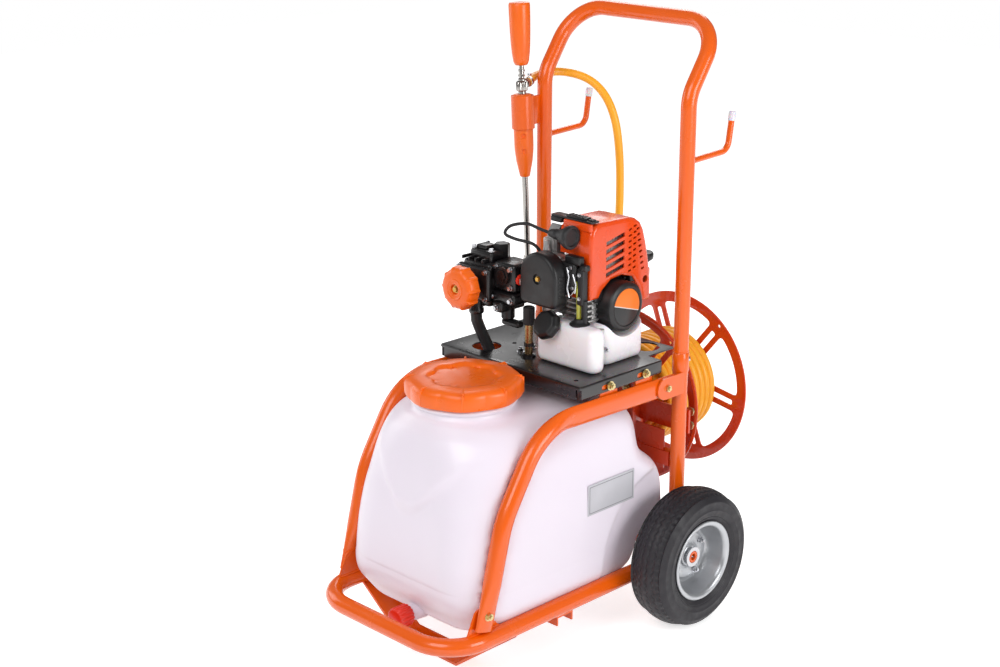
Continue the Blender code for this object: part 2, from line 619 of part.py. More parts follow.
cap_axis = Vector((0, -0.85, 0.53)).normalized()
cap_seat = Vector((44 * MM, -146 * MM, 497 * MM))
weld(fuel_tank, rod(cap_seat, cap_axis, 15 * MM, -12 * MM, 6 * MM, 16))
add("fuel_cap", turned(
    [(0, 6.3 * MM), (17 * MM, 6.3 * MM), (23 * MM, 8 * MM, 1), (24 * MM, 20 * MM, 1), (18 * MM, 26 * MM), (0, 26 * MM)],
    cap_seat, cap_axis, 32, lambda a: 1.2 * MM * math.cos(8 * a)), BLACK_PLASTIC, cap_seat)

CASE_R = 44 * MM
CASE_END = 64 * MM
add("crankcase", rod((0, CRANK_Y, CRANK_Z), X_AXIS, CASE_R, 6 * MM, CASE_END, 24, 2 * MM), CAST_ALLOY)
bore_x = 44 * MM
cylinder = add("cylinder", rod((bore_x, CRANK_Y, 0), Z_AXIS, 20 * MM, CRANK_Z + CASE_R + GAP, 640 * MM, 16), CAST_ALLOY)
for k in range(5):
    low = 582 * MM + 11 * MM * k
    weld(cylinder, box((18 * MM, CRANK_Y - 27 * MM, low), (70 * MM, CRANK_Y + 27 * MM, low + 3 * MM)))

# orange engine cover, a hood open at the bottom and towards the gearbox
HOOD_LOW = 520 * MM
hood_side = [(-118, 545), (-118, 652), (-100, 667), (-22, 667), (8, 650), (24, 590), (26, 520), (6, 520),
             (-3, 545), (-20, 566), (-45, 573), (-70, 570), (-90, 556), (-98, 545)]
hood_side = [(y * MM, z * MM) for y, z in hood_side]
hood = add("engine_shroud", prism(hood_side, "X", 36 * MM, 100 * MM), ORANGE_PLASTIC)
cut(hood, prism([(-115 * MM, 500 * MM), (-115 * MM, 650 * MM), (-99 * MM, 664 * MM), (-23 * MM, 664 * MM),
                 (5 * MM, 648 * MM), (21 * MM, 590 * MM), (23 * MM, 500 * MM)], "X", 30 * MM, 97 * MM))
for k in range(5):
    low = 586 * MM + 12 * MM * k
    cut(hood, prism([(-82 * MM, low), (-40 * MM, low + 5 * MM), (-40 * MM, low + 11 * MM), (-82 * MM, low + 6 * MM)],
                    "X", 90 * MM, 105 * MM))

add("starter_housing", turned(
    [(0, CASE_END + GAP), (45 * MM, CASE_END + GAP), (45 * MM, 96 * MM), (41 * MM, 101 * MM), (38 * MM, 116 * MM),
     (34 * MM, 120 * MM), (0, 120 * MM)], (0, CRANK_Y, CRANK_Z), X_AXIS, 32), BLACK_PLASTIC)
ROPE = Vector((62 * MM, 47 * MM, 0))
weld(hood, box((ROPE.x - 9 * MM, 22 * MM, 548 * MM), (ROPE.x + 9 * MM, 57 * MM, 562 * MM)))
cut(hood, rod((ROPE.x, ROPE.y, 555 * MM), Z_AXIS, 2.5 * MM, -12 * MM, 12 * MM, 10))
add("starter_handle", turned(
    [(0, -12 * MM), (2 * MM, -12 * MM), (2 * MM, 7.3 * MM), (7 * MM, 7.3 * MM), (8 * MM, 14 * MM), (18 * MM, 22 * MM),
     (18 * MM, 32 * MM), (0, 34 * MM)], (ROPE.x, ROPE.y, 555 * MM), Z_AXIS, 16), BLACK_PLASTIC, (ROPE.x, ROPE.y, 555 * MM))

BOX_X, BOX_Z = 29 * MM, 576 * MM
airbox = [(BOX_X - 39 * MM, BOX_Z - 43 * MM), (BOX_X + 39 * MM, BOX_Z - 43 * MM)] + \
    arc((BOX_X, BOX_Z + 4 * MM), 39 * MM, 0, 180, 8)
add("airbox_cover", prism(airbox, "Y", -166 * MM, -141 * MM), BLACK_PLASTIC)
add("carburettor", box((10 * MM, -140.7 * MM, 578 * MM), (50 * MM, -118.3 * MM, 612 * MM), 3 * MM, 1), CAST_ALLOY)
weld(cylinder, box((24 * MM, -117.7 * MM, 584 * MM), (48 * MM, CRANK_Y - 10 * MM, 606 * MM)))
cut(hood, box((8 * MM, -120 * MM, 576 * MM), (52 * MM, -110 * MM, 614 * MM)))
CHOKE_X, CHOKE_Z = BOX_X - 39 * MM, 563 * MM
add("choke_knob", turned(
    [(0, 0.3 * MM), (4 * MM, 0.3 * MM), (4 * MM, 8 * MM), (8.5 * MM, 9 * MM), (8.5 * MM, 15 * MM), (5 * MM, 20 * MM), (0, 21 * MM)],
    (CHOKE_X, -152 * MM, CHOKE_Z), -X_AXIS, 16), RED_PLASTIC, (CHOKE_X, -152 * MM, CHOKE_Z))
boot_spot = Vector((30 * MM, -136 * MM, 640 * MM))
add("plug_boot", turned(
    [(0, 0), (6 * MM, 0), (7 * MM, 14 * MM), (12 * MM, 26 * MM), (17 * MM, 34 * MM), (17 * MM, 40 * MM), (0, 42 * MM)],
    boot_spot, X_AXIS, 20), RUBBER)
weld(hood, box((4 * MM, -116 * MM, 664 * MM), (84 * MM, -98 * MM, 675 * MM)))
add("muffler", box((28 * MM, CRANK_Y + 27.3 * MM, 572 * MM), (94 * MM, 4 * MM, 630 * MM), 6 * MM, 1), BLACK_STEEL)
hose("throttle_cable", [(8 * MM, -129 * MM, 604 * MM), (-12 * MM, -140 * MM, 628 * MM), (-52 * MM, -160 * MM, 634 * MM),
                        (-70 * MM, -168 * MM, 640 * MM), (-60 * MM, -160 * MM, 652 * MM), (-20 * MM, -146 * MM, 656 * MM),
                        (10 * MM, -139 * MM, 644 * MM), (22 * MM, -136 * MM, 640 * MM), (29 * MM, -136 * MM, 640 * MM)], 5 * MM, 26, RUBBER)
hose("fuel_line", [(86 * MM, -130 * MM, FUEL_TOP + GAP), (86 * MM, -130 * MM, 530 * MM), (80 * MM, -130 * MM, 562 * MM),
                   (68 * MM, -130 * MM, 588 * MM), (58 * MM, -130 * MM, 594 * MM), (51 * MM, -130 * MM, 594 * MM)], 7 * MM, 12, GREEN_TUBE)

# ---------------------------------------------------------------- pump
add("gearbox", turned(
    [(0, 5.6 * MM), (38 * MM, 5.6 * MM), (38 * MM, -16 * MM), (26 * MM, -30 * MM), (26 * MM, -58 * MM), (0, -58 * MM)],
    (0, CRANK_Y, CRANK_Z), X_AXIS, 24), BLACK_STEEL)
pump = add("pump_body", box((PUMP_X - 31 * MM, -192 * MM, 503 * MM), (PUMP_X + 31 * MM, -108 * MM, 588 * MM), 5 * MM, 1), BLACK_STEEL)
weld(pump, box((PUMP_X - 26 * MM, -115 * MM, 505 * MM), (-58.3 * MM, CRANK_Y + 24 * MM, 560 * MM), 4 * MM, 1))
weld(pump, box((PUMP_X + 25 * MM, -172 * MM, 521.3 * MM), (12 * MM, -112 * MM, 540 * MM), 4 * MM, 1))
cut(pump, rod((0, CRANK_Y, CRANK_Z), X_AXIS, CASE_R + 1 * MM, -57 * MM, 70 * MM, 24))
cut(pump, box((BOX_X - 41 * MM, -168 * MM, 530 * MM), (70 * MM, -139 * MM, 640 * MM)))
weld(pump, rod((PUMP_X, -192 * MM, PUMP_Z), Y_AXIS, 12 * MM, -6 * MM, 5 * MM, 16))
add("pump_handwheel", turned(
    [(0, -30 * MM), (8 * MM, -30 * MM), (9 * MM, -34 * MM), (WHEEL_KNOB_R - 3 * MM, -34 * MM),
     (WHEEL_KNOB_R - 1.5 * MM, -31 * MM, 1), (WHEEL_KNOB_R - 1.5 * MM, -10 * MM, 1), (WHEEL_KNOB_R - 5 * MM, -6.3 * MM),
     (0, -6.3 * MM)], (PUMP_X, -192 * MM, PUMP_Z), Y_AXIS, 30,
    lambda a: 1.5 * MM * math.cos(10 * a)), ORANGE_PLASTIC, (PUMP_X, -192 * MM, PUMP_Z))
COCK_X = PUMP_X + 45 * MM
add("outlet_cock", rod((COCK_X, -150 * MM, 0), Z_AXIS, 11 * MM, 493 * MM, 521 * MM, 16, 2 * MM), BLACK_STEEL)
add("cock_lever", box((COCK_X - 9 * MM, -158 * MM, 483 * MM), (COCK_X + 30 * MM, -142 * MM, 492.7 * MM), 3 * MM, 1),
    BLACK_PLASTIC, (COCK_X, -150 * MM, 490 * MM))
hose("suction_hose", [(PUMP_X, -178 * MM, 502 * MM), (PUMP_X, -178 * MM, 490 * MM), (PUMP_X + 4 * MM, -170 * MM, 465 * MM),
                      (SUCTION_X, SUCTION_Y, 430 * MM), (SUCTION_X, SUCTION_Y, 392 * MM), (SUCTION_X, SUCTION_Y, 330 * MM),
                      (SUCTION_X, SUCTION_Y, 200 * MM), (SUCTION_X, SUCTION_Y, 120 * MM)], SUCTION_D, 26, RUBBER, 3)
add("suction_strainer", rod((SUCTION_X, SUCTION_Y, 0), Z_AXIS, 17 * MM, TANK_FLOOR + 8 * MM + TANK_WALL, 119.7 * MM, 16, 2 * MM), BLACK_PLASTIC)
add("engine_post", rod((POST_X, POST_Y, 0), Z_AXIS, POST_D / 2, TRAY_TOP + GAP, 491 * MM, 16), STEEL)
add("post_bush", rod((POST_X, POST_Y, 0), Z_AXIS, 9.5 * MM, 491.3 * MM, 521 * MM, 16, 1.5 * MM), RUBBER)

# ---------------------------------------------------------------- hose reel
bracket_back = UPRIGHT_Y + UP_R + GAP
BAR_X = HALF_TRACK + UP_R - 2 * MM
bracket = add("reel_bracket", box((-BAR_X, bracket_back, REEL_Z - 20 * MM), (BAR_X, bracket_back + 4 * MM, REEL_Z + 20 * MM)), RED_ORANGE)
weld(bracket, rod((0, 0, REEL_Z), Y_AXIS, 24 * MM, bracket_back + 2 * MM, bracket_back + 14 * MM, 20))
cut(bracket, rod((0, 0, REEL_Z), Y_AXIS, SHAFT_D / 2 + GAP, 0.02, 0.12, 20))
add("reel_stay", box((-HALF_TRACK + UP_R + GAP, UPRIGHT_Y - 8 * MM, 240 * MM), (HALF_TRACK - UP_R - GAP, UPRIGHT_Y + 8 * MM, 264 * MM)), RED_ORANGE)
shaft_front = 16 * MM
add("reel_shaft", turned(
    [(0, shaft_front), (14 * MM, shaft_front), (14 * MM, bracket_back - GAP), (SHAFT_D / 2, bracket_back - GAP),
     (SHAFT_D / 2, REEL_BACK + 12 * MM), (0, REEL_BACK + 12 * MM)], (0, 0, REEL_Z), Y_AXIS, 20), STEEL)

SPOKES = 6
SPOKE_TURN = 51
SPOKE_OUT = 14 * MM               # from the middle of a spoke pair to its outer edge
SPOKE_IN = 5.5 * MM               # and to its inner edge, half the slot
WINDOW_CORNER = 9 * MM


def sector(low, high, first, last, aside, corner):
    """Window between two radii whose straight sides stand aside from the rays at first and last."""
    def at_radius(radius, distance):
        return math.degrees(math.asin(distance / radius))
    return arc((0, 0), high, first + at_radius(high, aside + corner), last - at_radius(high, aside + corner), 6) + \
        arc((0, 0), high - corner, last - at_radius(high - corner, aside), last - at_radius(high - corner, aside), 1)[:1] + \
        arc((0, 0), low + corner, last - at_radius(low + corner, aside), last - at_radius(low + corner, aside), 1)[:1] + \
        arc((0, 0), low, last - at_radius(low, aside + corner), first + at_radius(low, aside + corner), 3) + \
        arc((0, 0), low + corner, first + at_radius(low + corner, aside), first, 1)[:1] + \
        arc((0, 0), high - corner, first + at_radius(high - corner, aside), first, 1)[:1]


def flange_windows():
    """Six wide windows between the spoke pairs and six slots inside the pairs."""
    inner, outer = REEL_HUB_R, REEL_R - REEL_RIM
    windows = []
    for k in range(SPOKES):
        ray = SPOKE_TURN + 60 * k
        windows.append(sector(inner + 8 * MM, outer, ray, ray + 60, SPOKE_OUT, WINDOW_CORNER))
        low, high = inner + 14 * MM, outer - 8 * MM
        wide_low = math.degrees(math.asin(SPOKE_IN / low))
        wide_high = math.degrees(math.asin(SPOKE_IN / high))
        windows.append(arc((0, 0), high, ray - wide_high, ray + wide_high, 2)
                       + arc((0, 0), low, ray + wide_low, ray - wide_low, 2))
    return windows


for word, start in (("front", REEL_FRONT), ("rear", REEL_BACK)):
    outlines = [arc((0, 0), REEL_R, 0, 352.5, 47)] + flange_windows()
    outlines.append(arc((0, 0), SHAFT_D / 2 + 1 * MM, 0, 342, 19))
    add(f"reel_flange_{word}", pierced(outlines, (0, REEL_Z), start, start + REEL_SHEET), RED_ORANGE, (0, start, REEL_Z))
drum_low, drum_high = REEL_FRONT + REEL_SHEET + GAP, REEL_BACK - GAP
add("reel_drum", turned(
    [(SHAFT_D / 2 + 1 * MM, drum_low), (DRUM_R, drum_low), (DRUM_R, drum_high), (SHAFT_D / 2 + 1 * MM, drum_high)],
    (0, 0, REEL_Z), Y_AXIS, 24, loop=True), RED_ORANGE, (0, REEL_FRONT, REEL_Z))
wind_low, wind_high = drum_low + 1 * MM, drum_high - 1 * MM
add("hose_winding", turned(
    [(DRUM_R + GAP, wind_low), (WINDING_R - 4 * MM, wind_low), (WINDING_R, wind_low + 6 * MM), (WINDING_R, wind_high - 6 * MM),
     (WINDING_R - 4 * MM, wind_high), (DRUM_R + GAP, wind_high)], (0, 0, REEL_Z), Y_AXIS, 24, loop=True),
    YELLOW_HOSE, (0, REEL_FRONT, REEL_Z))
knob_angle = math.radians(SPOKE_TURN + 180)
knob_reach = REEL_R - REEL_RIM / 2 - 1 * MM
knob_spot = Vector((knob_reach * math.cos(knob_angle), REEL_BACK + REEL_SHEET, REEL_Z + knob_reach * math.sin(knob_angle)))
add("reel_knob", turned(
    [(0, GAP), (6 * MM, GAP), (6 * MM, 6 * MM), (12 * MM, 8 * MM), (14 * MM, 40 * MM), (12 * MM, KNOB_LENGTH - 3 * MM),
     (9 * MM, KNOB_LENGTH), (0, KNOB_LENGTH)], knob_spot, Y_AXIS, 20), BLACK_PLASTIC, knob_spot)

# ---------------------------------------------------------------- spray gun
lean = Vector((-math.sin(GUN_LEAN), 0, math.cos(GUN_LEAN)))
gun_mid = Vector((GUN_X, GUN_Y, (SLEEVE_BOTTOM + SLEEVE_TOP) / 2))
half_sleeve = (SLEEVE_TOP - SLEEVE_BOTTOM) / 2
sleeve = add("gun_sleeve", turned(
    [(GRIP_R + 0.5 * MM, -half_sleeve), (SLEEVE_R, -half_sleeve), (SLEEVE_R, half_sleeve), (GRIP_R + 0.5 * MM, half_sleeve)],
    gun_mid, lean, 24, loop=True), ORANGE)
tab_end = UPRIGHT_Y - UP_R - GAP
weld(sleeve, box((GUN_X - 2 * MM, GUN_Y + GRIP_R + 1.2 * MM, gun_mid.z - half_sleeve + 4 * MM),
                 (GUN_X + 2 * MM, tab_end, gun_mid.z + half_sleeve - 4 * MM)))
add("gun_lower_grip", turned(
    [(0, -108 * MM), (7 * MM, -108 * MM), (9 * MM, -104 * MM), (GRIP_R - 1 * MM, -74 * MM), (GRIP_R, -58 * MM),
     (GRIP_R, half_sleeve),
     (11 * MM, half_sleeve + 2 * MM), (0, half_sleeve + 2 * MM)], gun_mid, lean, 20), ORANGE_PLASTIC)
neck_start = half_sleeve + 2.3 * MM
add("gun_neck", turned(
    [(0, neck_start), (6 * MM, neck_start), (6 * MM, 34 * MM), (9 * MM, 36 * MM), (9 * MM, 50 * MM), (5 * MM, 53 * MM),
     (4 * MM, 76.7 * MM), (0, 76.7 * MM)], gun_mid, lean, 20), STEEL)
add("gun_twist_grip", turned(
    [(0, 77 * MM), (10 * MM, 77 * MM), (13 * MM, 82 * MM), (16 * MM, 110 * MM), (17.5 * MM, 150 * MM), (17.5 * MM, 175 * MM),
     (15 * MM, 178.5 * MM), (0, 178.5 * MM)], gun_mid, lean, 20), ORANGE_PLASTIC, gun_mid + lean * 77 * MM)
lance_end = 275 * MM
add("lance", turned(
    [(0, -lance_end), (8 * MM, -lance_end), (8 * MM, -lance_end + 16 * MM), (LANCE_D / 2, -lance_end + 18 * MM),
     (LANCE_D / 2, -108.3 * MM), (0, -108.3 * MM)], gun_mid, lean, 16), STEEL)
elbow_spot = gun_mid + lean * 43 * MM
elbow_way = Vector((-0.33, 0.94, 0.08)).normalized()
add("hose_elbow", turned(
    [(0, 11 * MM), (5 * MM, 11 * MM), (7.5 * MM, 12 * MM), (7.5 * MM, 22 * MM), (0, 23 * MM)],
    elbow_spot, elbow_way, 16), STEEL)

# free hose from the elbow over to the reel
hose_start = elbow_spot + elbow_way * 23.3 * MM
wind_top = Vector((-WINDING_R - HOSE_D / 2 - GAP, (REEL_FRONT + REEL_BACK) / 2, REEL_Z))
leg_side = -HALF_TRACK - UP_R - HOSE_D / 2 - 3.5 * MM
SPRAY_HOSE = [hose_start, (leg_side, UPRIGHT_Y, 846 * MM), (leg_side - 0.5 * MM, 73 * MM, 849 * MM),
              (-163 * MM, 104 * MM, 847 * MM), (-133 * MM, 125 * MM, 836 * MM), (-107 * MM, 137 * MM, 811 * MM),
              (-90 * MM, 144 * MM, 772 * MM), (-83 * MM, 149 * MM, 718 * MM), (-82 * MM, 152 * MM, 650 * MM),
              (-86 * MM, 154 * MM, 560 * MM), (-93 * MM, 154 * MM, 450 * MM),
              wind_top + Vector((0, 0, 60 * MM)), wind_top]
hose("spray_hose", SPRAY_HOSE, HOSE_D, 44, YELLOW_HOSE)

# ---------------------------------------------------------------- wheels
RIM_R = RIM_OD / 2
SEAT_R = RIM_R - 8 * MM
SEAT_HALF = RIM_WIDTH / 2


def tyre_profile():
    """Round carcass about the wheel's middle; its beads sit between the rim's flanges."""
    w, top = TYRE_WIDTH / 2, TYRE_OD / 2
    half = [(SEAT_R + GAP, SEAT_HALF - GAP), (RIM_R + 0.8 * MM, SEAT_HALF - GAP), (RIM_R + 6 * MM, w - 3 * MM),
            (RIM_R + 20 * MM, w), (top - 13 * MM, w - 4 * MM), (top - 3 * MM, w - 14 * MM), (top, w - 26 * MM)]
    return [(r, -h) for r, h in half] + [(r, h) for r, h in half[::-1]]


def rim_profile():
    """Steel rim with rolled flanges, a dished disc and a tubular hub that runs on the axle."""
    hub, flange = AXLE_D / 2 + GAP, SEAT_HALF + SHEET
    return [(hub, -24 * MM), (14 * MM, -24 * MM), (14 * MM, -6 * MM), (SEAT_R - 10 * MM, -4 * MM),
            (SEAT_R - 3 * MM, -SEAT_HALF), (SEAT_R - 1 * MM, -flange), (RIM_R, -flange), (RIM_R, -SEAT_HALF),
            (SEAT_R, -SEAT_HALF), (SEAT_R, SEAT_HALF), (RIM_R, SEAT_HALF), (RIM_R, flange),
            (SEAT_R - 1 * MM, flange), (SEAT_R - 3 * MM, SEAT_HALF), (SEAT_R - 8 * MM, -1 * MM), (14 * MM, -2 * MM),
            (14 * MM, 3 * MM), (hub, 3 * MM)]


for side, word in ((1, "right"), (-1, "left")):
    hub_spot = Vector((side * WHEEL_X, 0, AXLE_Z))
    add(f"tyre_{word}", turned(tyre_profile(), hub_spot, X_AXIS * side, 28, loop=True), RUBBER, hub_spot)
    add(f"rim_{word}", turned(rim_profile(), hub_spot, X_AXIS * side, 28, loop=True), RIM_GREY, hub_spot)
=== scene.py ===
"""The look of a wheeled sprayer cart: tubular trolley, tank, engine pump set, hose reel, spray gun.

Every section holds one piece or group of like pieces, in the order the cart is put together. Shapes
are drawn in millimetres, measured from the ground under the middle of the axle (x to the right
wheel, y to the operator, z up), and piece() turns them into metres of the frame.
"""
import math

import bmesh
import bpy
from mathutils import Matrix, Vector


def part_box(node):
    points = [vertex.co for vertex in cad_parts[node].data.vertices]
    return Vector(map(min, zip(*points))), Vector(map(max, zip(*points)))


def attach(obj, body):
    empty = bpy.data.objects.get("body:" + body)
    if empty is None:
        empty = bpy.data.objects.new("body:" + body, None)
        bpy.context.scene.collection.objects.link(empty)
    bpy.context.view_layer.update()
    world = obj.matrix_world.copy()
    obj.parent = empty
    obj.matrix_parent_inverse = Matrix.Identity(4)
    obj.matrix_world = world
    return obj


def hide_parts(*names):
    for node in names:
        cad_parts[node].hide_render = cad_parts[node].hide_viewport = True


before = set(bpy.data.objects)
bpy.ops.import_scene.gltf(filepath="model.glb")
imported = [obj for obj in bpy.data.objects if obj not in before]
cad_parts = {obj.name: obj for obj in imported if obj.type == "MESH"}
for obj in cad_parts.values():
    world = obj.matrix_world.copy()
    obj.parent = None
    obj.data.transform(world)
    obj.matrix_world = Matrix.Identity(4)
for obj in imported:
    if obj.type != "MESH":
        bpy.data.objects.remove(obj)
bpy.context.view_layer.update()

# ---------------------------------------------------------------- camera
# A product view from the right front, a little above, with a moderately long lens.
# The axle's middle is the place that all other measures start from.
axle_low, axle_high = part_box("axle")
AXLE_Y = (axle_low.y + axle_high.y) / 2


def at(x, y, z):
    """Millimetres from the ground under the axle's middle, as a point of the frame."""
    return Vector((x / 1000, y / 1000 + AXLE_Y, z / 1000))


lens = bpy.data.cameras.new("camera")
lens.lens = 63.92
lens.sensor_width = 36
camera = bpy.data.objects.new("camera", lens)
bpy.context.collection.objects.link(camera)
camera.location = at(1877.3, -2081.0, 1337.4)
camera.rotation_euler = Vector((-0.6762, 0.6711, -0.3039)).to_track_quat("-Z", "Y").to_euler()
bpy.context.scene.camera = camera

# ---------------------------------------------------------------- spray hose
# Yellow PVC pressure hose, 14 mm outside. It leaves the gun's elbow, passes outside the left leg
# and hangs down to the turns on the reel, which hold the rest of its length.
HOSE_D = 14
GUN_LEAN = math.radians(3)
lean = Vector((-math.sin(GUN_LEAN), 0, math.cos(GUN_LEAN)))
gun_mid = Vector((-157, -9, 795.5))
elbow_spot = gun_mid + lean * 43
elbow_way = Vector((-0.33, 0.94, 0.08)).normalized()
HOSE_ROUTE = [elbow_spot + elbow_way * 23.3, (-177, 40, 846), (-177.5, 73, 849), (-163, 104, 847),
              (-133, 125, 836), (-107, 137, 811), (-90, 144, 772), (-83, 149, 718), (-82, 152, 650),
              (-86, 154, 560), (-93, 154, 450), (-99.3, 154.5, 378), (-99.3, 154.5, 318)]


def smooth_line(points, count):
    """Evenly spaced points on a smooth curve through chosen points."""
    points = [Vector(p) for p in points]
    ends = [2 * points[0] - points[1]] + points + [2 * points[-1] - points[-2]]
    fine = []
    for a, b, c, d in zip(ends, ends[1:], ends[2:], ends[3:]):
        for k in range(20):
            t = k / 20
            fine.append(0.5 * (2 * b + (c - a) * t + (2 * a - 5 * b + 4 * c - d) * t ** 2
                               + (3 * b - a - 3 * c + d) * t ** 3))
    fine.append(points[-1])
    reach = [0]
    for a, b in zip(fine, fine[1:]):
        reach.append(reach[-1] + (b - a).length)
    line = []
    for k in range(count - 1):
        goal = reach[-1] * k / (count - 1)
        n = max(i for i, length in enumerate(reach) if length <= goal + 1e-6)
        line.append(fine[n].lerp(fine[n + 1], (goal - reach[n]) / (reach[n + 1] - reach[n])))
    return line + [fine[-1]]


def linear(code):
    """An sRGB hex colour as the linear values that a socket takes."""
    parts = [int(code[k:k + 2], 16) / 255 for k in (1, 3, 5)]
    return [p / 12.92 if p <= 0.04045 else ((p + 0.055) / 1.055) ** 2.4 for p in parts] + [1]


def add(tree, kind, sockets=None, **settings):
    """Add a node; a socket is linked to another node's socket or set to a value."""
    node = tree.nodes.new(kind)
    for key, value in settings.items():
        setattr(node, key, value)
    for key, value in (sockets or {}).items():
        if isinstance(value, bpy.types.NodeSocket):
            tree.links.new(value, node.inputs[key])
        else:
            node.inputs[key].default_value = value
    return node


def surface(name, colours, rough, patch=60, grain=1.0, relief=0.02, spread=0.06, stretch=(1, 1, 1),
            **sockets):
    """A material whose colour drifts between two hexes over patches of so many millimetres.

    grain and relief are the width and the height in millimetres of its surface texture, rough and
    spread the middle and the swing of its roughness, and sockets go to the shader as they are.
    """
    material = bpy.data.materials.new(name)
    material.use_nodes = True
    tree = material.node_tree
    shader = tree.nodes["Principled BSDF"]
    spot = add(tree, "ShaderNodeTexCoord").outputs["Object"]
    drift = add(tree, "ShaderNodeTexNoise", {"Vector": spot, "Scale": 1000 / patch, "Detail": 4.0})
    tone = add(tree, "ShaderNodeMix",
               {0: drift.outputs["Fac"], 6: linear(colours[0]), 7: linear(colours[1])}, data_type="RGBA")
    tree.links.new(tone.outputs[2], shader.inputs["Base Color"])
    stretched = add(tree, "ShaderNodeMapping", {"Vector": spot, "Scale": stretch})
    fine = add(tree, "ShaderNodeTexNoise",
               {"Vector": stretched.outputs[0], "Scale": 1000 / grain, "Detail": 3.0, "Roughness": 0.6})
    smear = add(tree, "ShaderNodeTexNoise", {"Vector": stretched.outputs[0], "Scale": 2500 / patch,
                                             "Detail": 5.0})
    gloss = add(tree, "ShaderNodeMapRange",
                {"Value": smear.outputs["Fac"], "From Min": 0.3, "From Max": 0.7,
                 "To Min": rough - spread, "To Max": rough + spread})
    tree.links.new(gloss.outputs[0], shader.inputs["Roughness"])
    bump = add(tree, "ShaderNodeBump", {"Height": fine.outputs["Fac"], "Strength": 1.0,
                                        "Distance": relief / 1000})
    tree.links.new(bump.outputs[0], shader.inputs["Normal"])
    for key, value in sockets.items():
        shader.inputs[key.replace("_", " ")].default_value = value
    return material


# plasticised PVC: even warm yellow, a soft sheen and faint handling marks
PVC_HOSE = surface("pvc_hose", ("#F9A81C", "#FBB52C"), rough=0.36, patch=90, grain=2.5, relief=0.03,
                   spread=0.07)

route = smooth_line(HOSE_ROUTE, 40)
curve = bpy.data.curves.new("spray_hose_tube", "CURVE")
curve.dimensions = "3D"
curve.bevel_depth = HOSE_D / 2000
curve.bevel_resolution = 6
curve.use_fill_caps = True
curve.resolution_u = 4
spline = curve.splines.new("BEZIER")
spline.bezier_points.add(len(route) - 1)
for knot, place in zip(spline.bezier_points, route):
    knot.co = at(*place)
    knot.handle_left_type = knot.handle_right_type = "AUTO"
curve.materials.append(PVC_HOSE)
spray_hose = bpy.data.objects.new("spray_hose_tube", curve)
bpy.context.collection.objects.link(spray_hose)
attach(spray_hose, "cart")
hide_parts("spray_hose")

# ---------------------------------------------------------------- base frame
# One 28 mm steel tube bent into a U round the tank, with a gusset welded to each rail for the
# hoop's foot. MIG welded and powder coated orange; plastic plugs close the tube's rear ends.
HALF_TRACK = 154
RAIL_Z = 85
RAIL_R = 14
RAIL_TOP = RAIL_Z + RAIL_R
RAIL_END = 56.5
RAIL_FRONT = -477
# polyester powder coat on steel tube: glossy, with a fine orange-peel ripple about 2 mm wide
ORANGE_POWDER = surface("orange_powder_coat", ("#EC6206", "#E65A04"), rough=0.24, patch=140, grain=2.2,
                        relief=0.012, spread=0.05, Coat_Weight=0.2, Coat_Roughness=0.08)
# injection-moulded nylon plugs, knobs and covers: charcoal with a fine spark-eroded texture
BLACK_NYLON = surface("black_nylon", ("#0F0E10", "#161517"), rough=0.42, patch=40, grain=0.8,
                      relief=0.03, spread=0.08)


def skin(rings, closed=False):
    """Skin equal rings of points; an open stack gets flat ends."""
    bm = bmesh.new()
    loops = [[bm.verts.new(point) for point in ring] for ring in rings]
    pairs = list(zip(loops, loops[1:]))
    if closed:
        pairs.append((loops[-1], loops[0]))
    for low, high in pairs:
        for i in range(len(low)):
            j = (i + 1) % len(low)
            bm.faces.new((low[i], low[j], high[j], high[i]))
    if not closed:
        bm.faces.new(loops[0][::-1])
        bm.faces.new(loops[-1])
    return bm


def bend(corners, radii, step=6):
    """Replace the inner corners of a line by arcs of the given radii."""
    corners = [Vector(c) for c in corners]
    line = [corners[0]]
    for before, corner, after, radius in zip(corners, corners[1:], corners[2:], radii):
        back, onward = (before - corner).normalized(), (after - corner).normalized()
        half = back.angle(onward) / 2
        middle = corner + (back + onward).normalized() * radius / math.sin(half)
        first = corner + back * radius / math.tan(half) - middle
        last = corner + onward * radius / math.tan(half) - middle
        steps = max(2, round(math.degrees(math.pi - 2 * half) / step))
        turn_axis = first.cross(last).normalized()
        for k in range(steps + 1):
            line.append(middle + Matrix.Rotation(first.angle(last) * k / steps, 3, turn_axis) @ first)
    return line + [corners[-1]]


def pipe(line, radius, sides=28, shape=None, up=None):
    """Sweep a round section along a line; shape(share) gives its two scale factors on the way."""
    line = [Vector(p) for p in line]
    last = len(line) - 1
    ways = [(line[min(k + 1, last)] - line[max(k - 1, 0)]).normalized() for k in range(last + 1)]
    reach = [0]
    for a, b in zip(line, line[1:]):
        reach.append(reach[-1] + (b - a).length)
    side = Vector(up or ((1, 0, 0) if abs(ways[0].x) < 0.9 else (0, 0, 1)))
    rings = []
    for point, way, run in zip(line, ways, reach):
        side = (side - way * side.dot(way)).normalized()
        other = way.cross(side)
        wide, tall = shape(run / reach[-1]) if shape else (1, 1)
        angles = [2 * math.pi * n / sides for n in range(sides)]
        rings.append([point + (side * math.cos(a) * wide + other * math.sin(a) * tall) * radius
                      for a in angles])
    return skin(rings)


def prism(outline, axis, start, end):
    """Extrude a flat outline of (y, z), (x, z) or (x, y) points along X, Y or Z."""
    def spread(u, v, w):
        return {"X": (w, u, v), "Y": (u, w, v), "Z": (u, v, w)}[axis]
    return skin([[spread(u, v, w) for u, v in outline] for w in (start, end)])


